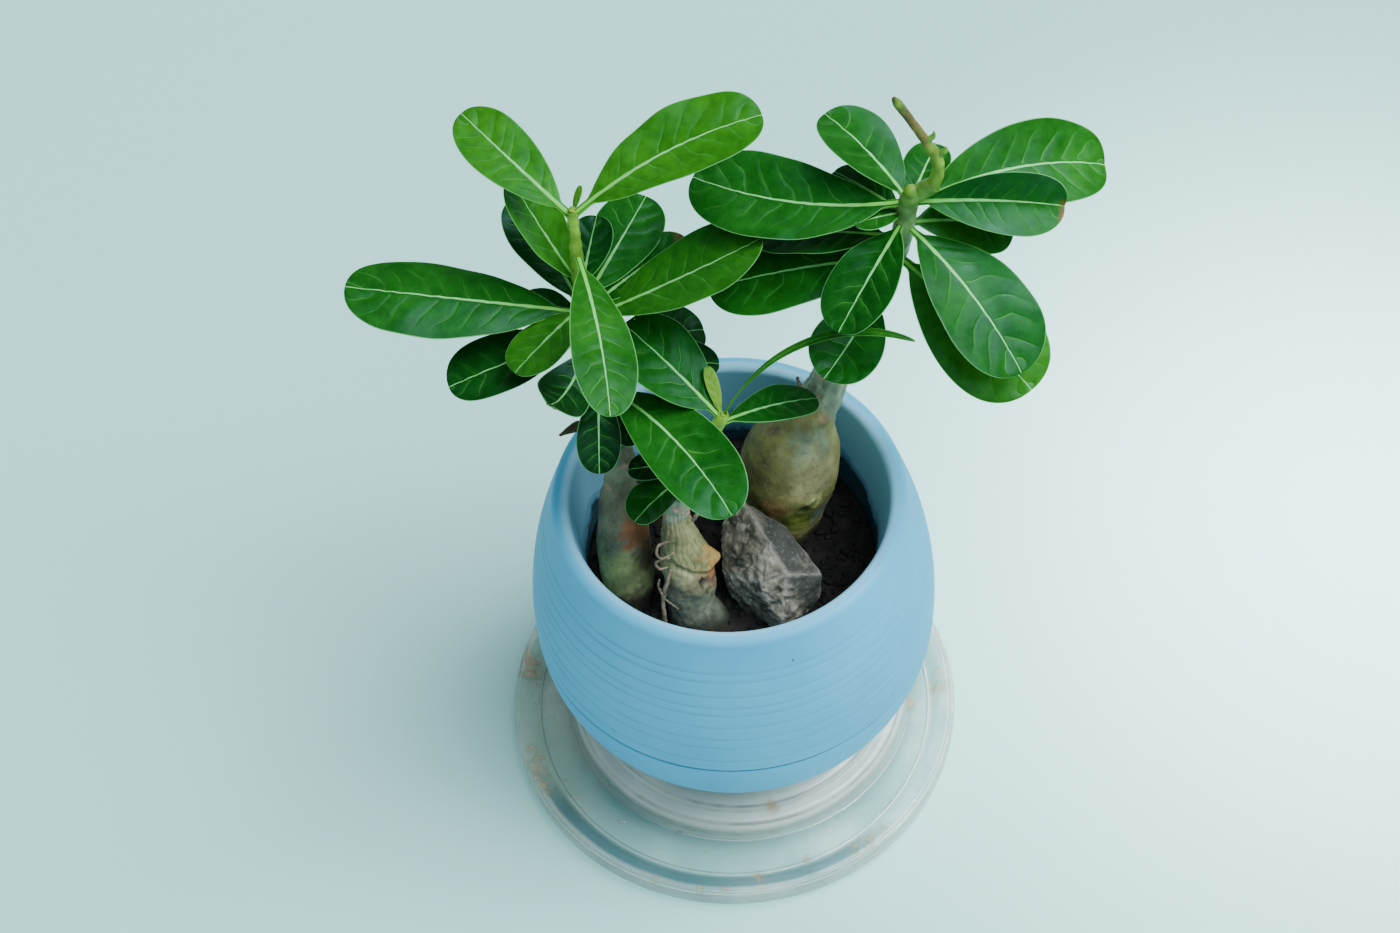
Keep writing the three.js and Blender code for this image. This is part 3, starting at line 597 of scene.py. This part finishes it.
ROOTS = [
    [(-15.8, -14.5, 101.5, 0.34), (-18.4, -16.6, 103.4, 0.34), (-19.4, -18, 102, 0.34),
     (-18.3, -18.4, 100, 0.34), (-16.4, -17.4, 99.4, 0.27), (-15, -16.4, 99.5, 0.14)],
    [(-16.2, -16.6, 97.2, 0.27), (-18.6, -18.4, 99.3, 0.31), (-19.8, -18.8, 98.4, 0.34),
     (-18.8, -19.3, 96.6, 0.34), (-16.8, -18.6, 96.2, 0.2)],
    [(-16.2, -18.8, 95.4, 0.54), (-17.4, -20.6, 91.7, 0.54), (-18.6, -21.8, 87.3, 0.61),
     (-18.7, -23.6, 82.6, 0.54), (-18.6, -24, 78.5, 0.54), (-18.2, -23.4, 73.6, 0.68)],
    [(-18.6, -21.8, 88, 0.34), (-19.6, -21.2, 91.5, 0.31), (-19.2, -20.8, 94, 0.2)],
    [(-18.4, -22, 87, 0.27), (-16.6, -22.9, 85.6, 0.27), (-15, -23.2, 83.6, 0.14)],
    [(-9.8, -11.4, 105.6, 0.54), (-8.5, -11, 107.6, 0.54), (-6.9, -10.2, 109.4, 0.34)]]
young = loft(bmesh.new(), FRONT_CAUDEX, 104, 170, front_relief, front_tint)
for root in ROOTS:
    loft(young, root, 10, 40, lambda point, angle, share: 0.22 * lumps(point, 0.9, 2),
         lambda point, angle, share: ROOT_BROWN * (0.75 + 0.4 * lumps(point, 1.2, 6)))
piece("grown_caudex_front", young, skin("young_caudex_skin", 0.42), "young_caudex_bark", "caudex_front")

# Stems. The upper stems of the three plants are grown out of the caudices: grey below, fresh green
# towards the leaves. The right one ends in a young shoot with nubs and a dried tip. A dried leaf juts
# out from the left stem, and a dry twig stands on the neck of the right caudex.
JOINT = 0.3
LEFT_STEM = [
    (-27.82, 6.87, 117 + JOINT, 3.3), (-28.2, 7.8, 121.3, 3.2), (-29.2, 8.6, 128, 3), (-30.2, 10, 138, 2.8),
    (-31.6, 12, 154, 2.3), (-32.2, 13, 164, 1.9), (-32.2, 14, 179, 1.5), (-32, 15, 191, 1.2),
    (-32, 15.1, 192.5, 0.8)]
RIGHT_STEM = [
    (29.92, 21.34, 127 + JOINT, 4), (31.4, 21.8, 131, 3.9), (34, 21.7, 138, 3.5), (38, 21.4, 148, 3.1),
    (41.6, 21, 159, 2.8), (44, 20, 172, 2.6), (45, 19, 184, 2.4), (47.6, 18.6, 187.6, 2.1),
    (50.6, 18.2, 190, 2)]
RIGHT_SHOOT = [
    (49.6, 18.2, 188.6, 1.8), (51, 18.2, 193, 1.5), (50.6, 18.4, 198, 1.4), (47.8, 19, 203.2, 1.1),
    (43.7, 19, 210.6, 1), (41.4, 19, 214.5, 1.1), (40.3, 19, 216.4, 0.5)]
FRONT_STEM = [
    (-12.2, -8.3, 112.6 + JOINT, 2.3), (-9.7, -8.2, 119.6, 2), (-5.2, -6.8, 130.6, 1.8),
    (-0.95, -4.7, 138.2, 1.6), (-0.4, -4.4, 139.4, 0.9)]
DRY_LEAF = [
    (-29.5, 8.4, 124, 0.6), (-33.5, 7.4, 124.6, 0.7), (-37.5, 6, 124.8, 1.3), (-41.4, 3.4, 125.2, 0.3)]
SHOOT_NUBS = [[(50.4, 18.2, 198.6, 0.8), (52.2, 18, 200.4, 0.7), (52.4, 18, 201.8, 0.2)],
              [(48, 18.8, 203, 0.8), (49.6, 18.8, 204.6, 0.6), (49.6, 18.8, 206, 0.2)],
              [(46.6, 18.6, 186.6, 1.8), (45.2, 18.4, 188, 1.7), (44.3, 18.3, 188.8, 1)]]
TWIG = [(20.6, 17.4, 116, 0.7), (20, 17, 120, 0.6), (19, 16.2, 126, 0.4)]
WOODY = Vector((0.22, 0.26, 0.18))
FRESH = Vector((0.11, 0.29, 0.035))
BRIGHT = Vector((0.17, 0.38, 0.02))
DRIED = Vector((0.10, 0.075, 0.015))
REDDISH = Vector((0.30, 0.17, 0.12))


def stem(shape, limb, colours, relief=1.0, around=28):
    """A limb whose colour runs through the colours from its foot to its tip."""
    def tint(point, angle, share):
        place = max(0, min(0.999, share + 0.07 * lumps(point, 2.4, 1))) * (len(colours) - 1)
        colour = colours[int(place)].lerp(colours[int(place) + 1], place % 1)
        return colour * (1 + 0.35 * lumps(point, 1.6, 5))

    def bark(point, angle, share):
        rings = 0.12 * math.sin(point.z * 1.7 + 2 * lumps(point, 4, 7))
        rough = rings + 0.3 * lumps(point, 2.2, 3) + 0.12 * lumps(point, 0.9, 6)
        return relief * (1 - 0.6 * share) * rough

    loft(shape, limb, around, 120, bark, tint)


stem_skin = Finish("stem_skin", Roughness=0.48, Specular_IOR_Level=0.35)
tint = stem_skin.attribute("tint")
clouds = stem_skin.step(stem_skin.noise(1.8 * MM, 6), 0.3, 0.7, 0.6, 1.2)
colour = stem_skin.node("VectorMath", {0: tint, "Scale": clouds}, operation="SCALE").outputs[0]
stem_skin.set("Base Color", colour)
stem_skin.set("Normal", stem_skin.bump(stem_skin.noise(0.9 * MM, 5), 0.22 * MM))

shape = bmesh.new()
stem(shape, LEFT_STEM, [WOODY * 0.8, WOODY, FRESH, BRIGHT, BRIGHT * 1.25])
stem(shape, DRY_LEAF, [DRIED * 0.5, DRIED * 0.6, DRIED * 0.7, DRIED * 0.5], 1.3, 12)
piece("stem_left", shape, stem_skin, "leaf", "leafy_stem_left")
shape = bmesh.new()
stem(shape, RIGHT_STEM, [WOODY, WOODY * 1.1, WOODY, WOODY.lerp(FRESH, 0.5), FRESH, FRESH])
stem(shape, RIGHT_SHOOT, [FRESH, BRIGHT, BRIGHT, DRIED.lerp(BRIGHT, 0.5), DRIED * 1.3, DRIED,
                          BRIGHT * 0.6, DRIED * 0.4], 0.4)
for nub in SHOOT_NUBS:
    stem(shape, nub, [FRESH, FRESH, BRIGHT], 0.4, 14)
stem(shape, TWIG, [REDDISH, REDDISH, REDDISH * 0.6], 0.9, 12)
piece("stem_right", shape, stem_skin, "leaf", "leafy_stem_right")
shape = bmesh.new()
stem(shape, FRONT_STEM, [WOODY, FRESH, FRESH, BRIGHT, BRIGHT], 0.6)
piece("stem_front", shape, stem_skin, "leaf", "leafy_stem_front")

# Leaves. Glossy obovate leaves spiral up each stem on short stalks. Each is grown from a grid wrapped
# round its section, then bent, rolled, cupped, quilted between its side veins and coloured by its age;
# a leaf in shade is given a younger, lighter age as painted light.
# at is the height of its root on the stem, in millimetres, and az its azimuth, in degrees.
STALK_SHARE = 0.1
BROADEST = (0.8, 0.45)
ROWS = 44
COLUMNS = 48
LEAF_LAYERS = ("blade", "growth", "veins")
LEFT_LEAVES = [
    dict(at=190, az=140, rise=26, length=36, width=14.5, droop=12, sweep=-8, roll=-15, cup=0.1, age_and_light=0.05),
    dict(at=190.5, az=20, rise=34, length=49, width=19, droop=30, sweep=-9, roll=12, cup=0.2, age_and_light=0.2),
    dict(at=191, az=60, rise=55, length=7, width=1.8, age_and_light=-0.1, dry=0.4),
    dict(at=179, az=-76, rise=0, length=45, width=15, droop=14, sweep=-12, roll=-15, cup=0.18, age_and_light=0.35),
    dict(at=168, az=138, rise=49, length=31, width=15.5, droop=2, sweep=-8, roll=18, cup=0.2, age_and_light=0.15),
    dict(at=167, az=74, rise=32, length=19, width=10.5, age_and_light=0.8),
    dict(at=160, az=37, rise=13, length=32, width=13, age_and_light=0.5, dry=0.9),
    dict(at=163, az=60, rise=8, length=36, width=17, droop=10, sweep=6, roll=10, cup=0.05, age_and_light=0.6),
    dict(at=162, az=-132, rise=6, length=24, width=15.5, droop=24, sweep=-4, roll=10, cup=0.1, age_and_light=0.25),
    dict(at=161, az=122, rise=34, length=32, width=15, age_and_light=0.8),
    dict(at=160, az=180, rise=15, length=56.8, width=21.5, droop=9, sweep=-8, roll=-7, cup=-0.12, age_and_light=0.45),
    dict(at=158, az=2, rise=24, length=47, width=20.5, droop=1, sweep=9, age_and_light=0.3),
    dict(at=158, az=160, rise=14, length=17, width=10, age_and_light=0.85),
    dict(at=153, az=-160, rise=3, length=36, width=18.5, droop=14, sweep=-2, age_and_light=0.85),
    dict(at=151, az=-121, rise=-42, length=27, width=13.4, droop=-98, sweep=12, roll=-27, cup=0.18,
         age_and_light=0.9),
    dict(at=144.5, az=27, rise=5, length=30, width=15, droop=29, sweep=-8, roll=17, cup=0.2, age_and_light=0.85),
    dict(at=141, az=3, rise=8, length=30, width=13.8, droop=20, sweep=-5, cup=0.2, age_and_light=0.95),
    dict(at=139, az=-94, rise=-24, length=24, width=11, droop=20, age_and_light=1),
    dict(at=136, az=-46, rise=15, length=52, width=19.6, droop=31, sweep=-17, roll=4, cup=0.14, age_and_light=0.6),
    dict(at=136, az=-60, rise=-20, length=17, width=9, age_and_light=0.95)]
RIGHT_LEAVES = [
    dict(at=184, az=176, rise=-10, length=52, width=22.5, droop=-15, sweep=-25, roll=-16, cup=0.08,
         age_and_light=0.6),
    dict(at=183.5, az=125, rise=29, length=29, width=18.5, droop=17, sweep=12, roll=10, cup=0.2, age_and_light=0.55),
    dict(at=182, az=20, rise=14, length=53, width=21, droop=42, sweep=-5, roll=30, cup=0.25, age_and_light=0.4),
    dict(at=184, az=-5, rise=5, length=37, width=14.8, droop=24, sweep=9, roll=54, cup=0.56,
         age_and_light=0.45, dry=1),
    dict(at=180, az=64, rise=16, length=21, width=11, age_and_light=0.7),
    dict(at=180, az=196, rise=12, length=13, width=7.6, age_and_light=0.55),
    dict(at=179, az=138, rise=12, length=21, width=11, age_and_light=0.7),
    dict(at=178, az=-125, rise=-12, length=32, width=17.5, droop=16, sweep=-2, roll=8, cup=0.2, age_and_light=0.75),
    dict(at=176, az=-50, rise=-8, length=45, width=23.5, droop=27, sweep=-10, roll=3, cup=0.18, age_and_light=0.6),
    dict(at=176, az=9, rise=-2, length=28, width=15.5, droop=28, sweep=-9, roll=22, cup=0.1, age_and_light=0.3),
    dict(at=171, az=172, rise=6, length=36, width=16, age_and_light=0.75),
    # Painted light: this leaf lies in the shade of the leaf above it and is given a young age to colour it
    # lighter.
    dict(at=165, az=-43, rise=-17, length=46, width=25.5, droop=10, sweep=-6, roll=22, cup=0.04, age_and_light=0.1),
    dict(at=163, az=184, rise=6, length=45, width=22, droop=20, roll=-12, cup=0.1, age_and_light=0.6),
    dict(at=151, az=-113, rise=5, length=31, width=17.4, droop=8, sweep=-14, roll=-16, age_and_light=0.65)]
FRONT_LEAVES = [
    dict(at=138.6, az=34, rise=54, length=55, width=2.6, droop=59, sweep=-60, cup=0.3, age_and_light=0.3),
    dict(at=138.2, az=105, rise=42, length=13, width=3.4, age_and_light=-0.4),
    dict(at=137.8, az=139, rise=36, length=33, width=20.7, droop=17, roll=3, cup=0.1, age_and_light=0.55),
    dict(at=136.4, az=22, rise=4, length=27, width=11.5, droop=25, sweep=-4, cup=0.1, age_and_light=0.7),
    dict(at=123.8, az=176, rise=2, length=17, width=9, age_and_light=0.95),
    dict(at=121, az=-148, rise=1, length=19, width=13, droop=20, sweep=12, roll=12, cup=0.25, age_and_light=0.7)]


def on_axis(stations, height):
    """The point on a stem's axis at a height."""
    for below, above in zip(stations, stations[1:]):
        if above[2] >= height:
            break
    share = (height - below[2]) / (above[2] - below[2])
    return Vector(below[:3]).lerp(Vector(above[:3]), share)


def leaf_axes(azimuth, rise, roll):
    """Heading, side and upper face of a leaf that points this way."""
    around = math.radians(azimuth)
    up = math.radians(rise)
    tilt = math.radians(roll)
    heading = Vector((math.cos(around) * math.cos(up), math.sin(around) * math.cos(up), math.sin(up)))
    level = Vector((-math.sin(around), math.cos(around), 0))
    upper = heading.cross(level)
    side = level * math.cos(tilt) + upper * math.sin(tilt)
    return heading, side, upper * math.cos(tilt) - level * math.sin(tilt)


def half_width(share, width):
    """Half the width of a leaf at a share of its length: a narrow stalk, then the blade."""
    blade = max(0, (share - STALK_SHARE) / (1 - STALK_SHARE))
    before, after = BROADEST
    peak = before / (before + after)
    full = peak ** before * (1 - peak) ** after
    stalk = 0.95 * min(1, width / 8) * math.sqrt(1 - blade)
    return max(stalk, width / 2 * blade ** before * (1 - blade) ** after / full)


def grow_leaf(shape, stations, seed, at, az, rise, length, width, age_and_light,
              droop=15, sweep=0, roll=0, cup=0.15, dry=0):
    """Grows one leaf from the stem's axis into the mesh, with the places of its veins kept on it."""
    layers = [shape.verts.layers.float_vector[name] for name in LEAF_LAYERS]
    spine = [on_axis(stations, at)]
    steps = 60
    for step in range(steps):
        share = (step + 0.5) / steps
        heading = leaf_axes(az + sweep * share, rise - droop * share, 0)[0]
        spine.append(spine[-1] + heading * length / steps)
    spacing = 1.5 + 0.18 * width
    verts = bmesh.ops.create_grid(shape, x_segments=COLUMNS, y_segments=ROWS, size=1)["verts"]
    for vert in verts:
        turn = math.pi * vert.co.x
        share = (1 - math.cos(math.pi * (vert.co.y + 1) / 2)) / 2
        row = min(int(share * steps), steps - 1)
        centre = spine[row].lerp(spine[row + 1], share * steps - row)
        side, face = leaf_axes(az + sweep * share, rise - droop * share, roll)[1:]
        half = half_width(share, width)
        lean = -math.cos(turn)
        across = lean * (0.6 + 0.4 * lean * lean)
        out = abs(across)
        stalk = max(0, 1 - share / (2 * STALK_SHARE))
        thickness = (0.5 + 1.1 * stalk) * min(1, half / 1.2)
        ply = math.copysign(abs(math.sin(turn)) ** 0.6, math.sin(turn)) * thickness / 2
        middle = centre + side * across * half
        strayed = length * share + 2.2 * lumps(middle, 7, seed) + 0.6 * lumps(middle, 2.6, seed)
        phase = (strayed - 0.34 * width * out ** 1.2) / spacing + seed * 0.37 + 0.5 * (across > 0)
        blade_wide = min(1, half / 6) * (1 - stalk)
        quilt = (abs(math.sin(math.pi * phase)) - 0.6) * 0.34 * blade_wide * (1 - out ** 3)
        keel = math.exp(-(across * half / 0.9) ** 2) * (1 - share) * min(1, half / 3)
        keel *= 0.12 if turn > 0 else -0.6
        wave = lumps(middle, 10, seed) * 1.0 * blade_wide * out
        lift = cup * half * out ** 1.5 + ply + quilt + wave + keel
        vert[layers[0]] = (across, share, 0.5 - math.copysign(min(0.5, abs(math.sin(turn)) * 4), turn))
        vert[layers[1]] = (age_and_light, dry, min(1, width / 12))
        vert[layers[2]] = (phase, half, spacing)
        vert.co = (middle + face * lift) * MM
    bmesh.ops.remove_doubles(shape, verts=verts, dist=0.002 * MM)


def leaves(name, node, stations, rows):
    """All the leaves of one stem as one piece."""
    shape = bmesh.new()
    for layer_name in LEAF_LAYERS:
        shape.verts.layers.float_vector.new(layer_name)
    for index, row in enumerate(rows):
        grow_leaf(shape, stations, index + len(rows), **row)
    bmesh.ops.holes_fill(shape, edges=[edge for edge in shape.edges if edge.is_boundary], sides=0)
    bmesh.ops.recalc_face_normals(shape, faces=shape.faces)
    piece(name, shape, leaf_skin, "leaf", node)


leaf_skin = Finish("leaf_skin", Specular_IOR_Level=0.11, Specular_Tint=(0.4, 0.95, 1.0, 1))
blade, growth, veins = [leaf_skin.attribute(name) for name in LEAF_LAYERS]
across, along, under = [leaf_skin.part(axis, blade) for axis in range(3)]
age_and_light, dry, breadth = [leaf_skin.part(axis, growth) for axis in range(3)]
phase, half, spacing = [leaf_skin.part(axis, veins) for axis in range(3)]
out = leaf_skin.math("ABSOLUTE", across)
patchy = leaf_skin.step(leaf_skin.noise(5 * MM, 4), 0.38, 0.62, 0.15, 1.0)
reach = leaf_skin.times(leaf_skin.math("PINGPONG", phase, 0.5), spacing)
vein = leaf_skin.times(
    leaf_skin.step(reach, 0.03, 0.2, 1.0, 0.0), leaf_skin.step(out, 0.45, 0.9, 1.0, 0.0), patchy,
    leaf_skin.step(along, 0.2, 0.32), leaf_skin.step(half, 2.5, 4))
halo = leaf_skin.times(leaf_skin.step(reach, 0.2, 1.6, 1.0, 0.0), leaf_skin.step(out, 0.3, 0.9, 1.0, 0.0))
cells = {"Vector": leaf_skin.place, "Scale": 1 / (1.7 * MM)}
net = leaf_skin.node("TexVoronoi", cells, feature="DISTANCE_TO_EDGE")
net = leaf_skin.step(net.outputs["Distance"], 0.0, 0.09, 1.0, 0.0)
from_rib = leaf_skin.times(out, half)
rib_width = leaf_skin.times(leaf_skin.step(along, 0.0, 1.0, 0.55, 0.12), breadth)
rib = leaf_skin.step(leaf_skin.math("DIVIDE", from_rib, rib_width), 0.6, 1.0, 1.0, 0.0)
rib = leaf_skin.times(rib, leaf_skin.step(breadth, 0.2, 0.6, 0.4, 1.0))
from_margin = leaf_skin.times(leaf_skin.math("SUBTRACT", 1.0, out), half)
margin = leaf_skin.step(from_margin, 0.06, 0.26, 0.6, 0.0)
margin = leaf_skin.times(margin, leaf_skin.step(breadth, 0.2, 0.6, 0.3, 1.0))
clouds = leaf_skin.step(leaf_skin.noise(6 * MM, 6), 0.3, 0.7)
sprout = leaf_skin.mix(clouds, (0.10, 0.22, 0.006, 1), (0.15, 0.29, 0.012, 1))
young = leaf_skin.mix(clouds, (0.016, 0.125, 0.003, 1), (0.026, 0.16, 0.006, 1))
grown = leaf_skin.mix(clouds, (0.004, 0.055, 0.002, 1), (0.008, 0.085, 0.005, 1))
old = leaf_skin.mix(clouds, (0.001, 0.017, 0.002, 1), (0.003, 0.031, 0.005, 1))
# Painted light: the age value also stands for light, a leaf in shade being given a younger, lighter age.
green = leaf_skin.mix(leaf_skin.step(age_and_light, -0.4, 0.0), sprout, young)
green = leaf_skin.mix(leaf_skin.step(age_and_light, 0.1, 0.5), green, grown)
green = leaf_skin.mix(leaf_skin.step(age_and_light, 0.6, 1.0), green, old)
green = leaf_skin.mix(leaf_skin.times(halo, 0.15), green, (0.02, 0.13, 0.015, 1))
green = leaf_skin.mix(leaf_skin.times(net, 0.08), green, (0.03, 0.17, 0.03, 1))
back = leaf_skin.mix(clouds, (0.05, 0.09, 0.006, 1), (0.08, 0.13, 0.014, 1))
green = leaf_skin.mix(under, green, back)
mottle = leaf_skin.step(leaf_skin.noise(1.3 * MM, 5), 0.3, 0.7, 0.84, 1.16)
green = leaf_skin.node("VectorMath", {0: green, "Scale": mottle}, operation="SCALE").outputs[0]
colour = leaf_skin.mix(leaf_skin.times(vein, 0.32), green, (0.09, 0.40, 0.07, 1))
base = leaf_skin.step(along, 0.05, 0.5, 1.0, 0.0)
pale = leaf_skin.mix(base, (0.18, 0.60, 0.20, 1), (0.15, 0.56, 0.07, 1))
colour = leaf_skin.mix(leaf_skin.math("MAXIMUM", leaf_skin.times(rib, 0.9), margin), colour, pale)
withered = leaf_skin.math("ADD", along, leaf_skin.times(leaf_skin.noise(4 * MM, 5), 0.3))
withered = leaf_skin.times(dry, leaf_skin.step(withered, 1.08, 1.14))
leaf_skin.set("Base Color", leaf_skin.mix(withered, colour, (0.12, 0.06, 0.015, 1)))
dull = leaf_skin.times(leaf_skin.math("MAXIMUM", under, withered), 0.25)
gloss = leaf_skin.step(leaf_skin.noise(3 * MM, 5), 0.3, 0.7, 0.27, 0.4)
leaf_skin.set("Roughness", leaf_skin.math("ADD", dull, gloss))
pores = leaf_skin.bump(leaf_skin.noise(0.8 * MM, 4), 0.012 * MM)
pillow = leaf_skin.times(
    leaf_skin.step(reach, 0.0, 0.9), leaf_skin.step(out, 0.5, 0.95, 1.0, 0.0),
    leaf_skin.step(along, 0.15, 0.3))
leaf_skin.set("Normal", leaf_skin.bump(pillow, 0.07 * MM, pores))
leaves("leaves_left", "leafy_stem_left", LEFT_STEM, LEFT_LEAVES)
leaves("leaves_right", "leafy_stem_right", RIGHT_STEM, RIGHT_LEAVES)
leaves("leaves_front", "leafy_stem_front", FRONT_STEM, FRONT_LEAVES)

# Stone. A rough broken stone lies on the soil, leaning between the plants. It is the hull of its
# corners, chipped more on the side below its ridge, with pale worn edges. How worn and how rough each
# place is stays on the mesh for the colours.
STONE_CORNERS = [
    (3, 0.5, 98), (-2.6, -2, 91), (-3.4, -12.6, 84), (-1.4, -15.5, 76), (2, -19.5, 73.4), (11, -27, 73.4),
    (11.5, -27, 78.5), (22.4, -19.8, 78), (21.5, -18, 73.4), (23.2, -17, 86), (15, -6.5, 93),
    (9, -13.5, 98), (13.5, -20.5, 92), (6.4, -22, 90), (20, -10, 74), (2, -2.6, 76)]
STONE_GRAIN = 0.75
stone = bmesh.new()
for corner in STONE_CORNERS:
    stone.verts.new(Vector(corner) * MM)
hull = bmesh.ops.convex_hull(stone, input=stone.verts)
inner = [part for part in hull["geom_interior"] if isinstance(part, bmesh.types.BMVert)]
bmesh.ops.delete(stone, geom=inner, context="VERTS")
sharp = [edge for edge in stone.edges if edge.calc_face_angle(0) > 0.3]
crests = [(edge.verts[0].co / MM, edge.verts[1].co / MM) for edge in sharp]
bmesh.ops.triangulate(stone, faces=stone.faces)
for cut in range(5):
    long_edges = [edge for edge in stone.edges if edge.calc_length() > STONE_GRAIN * MM]
    bmesh.ops.subdivide_edges(stone, edges=long_edges, cuts=1)
    bmesh.ops.triangulate(stone, faces=stone.faces)
stone.normal_update()
wear_layer = stone.verts.layers.float_vector.new("wear")
for vert in stone.verts:
    point = vert.co / MM
    gap = math.inf
    for start, end in crests:
        span = end - start
        share = max(0, min(1, (point - start).dot(span) / span.length_squared))
        gap = min(gap, (point - start - span * share).length)
    crest = max(0, 1 - gap / (1.3 + 0.8 * lumps(point, 2.5, 2)))
    broken = max(0, min(1, 0.5 - 0.28 * (point.x - 11) - 0.06 * (point.y + 12) - 0.12 * (point.z - 90)
                        + 0.5 * lumps(point, 4, 1)))
    cell = noise.voronoi(point / 3.2)[0]
    chips = 0.5 - 0.9 * (cell[1] - cell[0])
    rough = (0.25 + 0.95 * broken) * chips + 0.5 * lumps(point, 4, 2)
    rough += (0.1 + 0.25 * broken) * lumps(point, 1.2, 6)
    vert[wear_layer] = (crest, broken, 0)
    vert.co += vert.normal * (rough - 0.35 - 0.5 * max(0, 1 - gap / 1.2) ** 2) * MM
rock = Finish("grey_stone", Roughness=0.8, Specular_IOR_Level=0.4)
worn, broken = [rock.part(axis, rock.attribute("wear")) for axis in range(2)]
clouds = rock.step(rock.noise(5 * MM, 8), 0.3, 0.7)
smooth_face = rock.mix(clouds, (0.027, 0.031, 0.027, 1), (0.053, 0.058, 0.051, 1))
patches = rock.step(rock.noise(2.4 * MM, 8), 0.38, 0.62)
broken_face = rock.mix(patches, (0.045, 0.048, 0.038, 1), (0.20, 0.19, 0.145, 1))
grey = rock.mix(broken, smooth_face, broken_face)
crust = rock.step(rock.noise(3.6 * MM, 9), 0.56, 0.66, 0.0, 0.6)
gleam = rock.times(broken, rock.step(rock.noise(1.3 * MM, 9), 0.54, 0.64, 0.0, 0.75))
grey = rock.mix(gleam, grey, (0.36, 0.35, 0.30, 1))
grey = rock.mix(crust, grey, (0.22, 0.20, 0.16, 1))
rubbed = rock.times(worn, rock.step(rock.noise(1.6 * MM, 6), 0.35, 0.6, 0.3, 1.0), 0.8)
grey = rock.mix(rubbed, grey, (0.30, 0.29, 0.26, 1))
grey = rock.mix(rock.step(rock.noise(0.5 * MM, 4), 0.60, 0.68, 0.0, 0.5), grey, (0.18, 0.18, 0.16, 1))
rock.set("Base Color", grey)
fine = rock.bump(rock.noise(0.5 * MM, 6), 0.4 * MM)
rock.set("Normal", rock.bump(rock.noise(2.2 * MM, 8), 0.9 * MM, fine))
piece("grey_stone", stone, rock, "stone", "stone")

# Studio. A pale floor, a broad window light from the right, a weaker light from above, a small pool of
# light on the floor at the right, dim light all round, and the camera where the photograph was taken.
floor = bmesh.new()
bmesh.ops.create_grid(floor, x_segments=1, y_segments=1, size=3)
bmesh.ops.translate(floor, vec=(0, 0, -0.3 * MM), verts=floor.verts)
table = Finish("pale_table", Roughness=0.6)
table.set("Base Color", table.mix(table.noise(0.3, 2), (0.36, 0.70, 0.68, 1), (0.40, 0.75, 0.73, 1)))
mesh = bpy.data.meshes.new("pale_floor")
floor.to_mesh(mesh)
floor.free()
mesh.materials.append(table.material)
ground_plane = bpy.data.objects.new("pale_floor", mesh)
bpy.context.scene.collection.objects.link(ground_plane)
ground_plane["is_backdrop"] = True

air = bpy.data.worlds.new("studio_air")
air.use_nodes = True
air.node_tree.nodes["Background"].inputs["Color"].default_value = (0.82, 0.94, 1.0, 1)
air.node_tree.nodes["Background"].inputs["Strength"].default_value = 0.4
bpy.context.scene.world = air


def soft_light(name, place, target, size, power, colour, spread=180):
    """A square area light at a place, turned towards a target, that fans out over the spread in degrees."""
    lamp = bpy.data.lights.new(name, "AREA")
    lamp.size = size
    lamp.energy = power
    lamp.color = colour
    lamp.spread = math.radians(spread)
    made = bpy.data.objects.new(name, lamp)
    made.location = place
    made.rotation_euler = (Vector(target) - Vector(place)).to_track_quat("-Z", "Y").to_euler()
    bpy.context.scene.collection.objects.link(made)


soft_light("window", (2.7, 0.12, 4.5), (0.02, 0, 0.05), 3.6, 460, (1.0, 1.0, 1.0))
soft_light("ceiling", (0.8, -0.9, 3), (0, 0, 0.05), 2.8, 72, (0.9, 0.97, 1.0))
soft_light("pool", (0.34, 0.16, 0.9), (0.2, 0.05, 0), 0.2, 0.75, (1.0, 0.98, 0.98), 20)

CAMERA_PLACE = Vector((-7, -307.3, 523.8)) * MM
CAMERA_TILT = math.radians(90 - 53.2)
CAMERA_ROLL = -0.066
FOCAL_PIXELS = 2030
IMAGE_WIDTH = 1400
view = bpy.data.cameras.new("camera")
view.sensor_width = 36
view.lens = FOCAL_PIXELS / IMAGE_WIDTH * view.sensor_width
camera = bpy.data.objects.new("camera", view)
camera.matrix_world = (Matrix.Translation(CAMERA_PLACE) @ Matrix.Rotation(CAMERA_TILT, 4, "X")
                       @ Matrix.Rotation(CAMERA_ROLL, 4, "Z"))
bpy.context.scene.collection.objects.link(camera)
bpy.context.scene.camera = camera

boxes = {"cad": cad_box, "visual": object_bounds()}
{key: [list(corner) for corner in box] for key, box in boxes.items()}
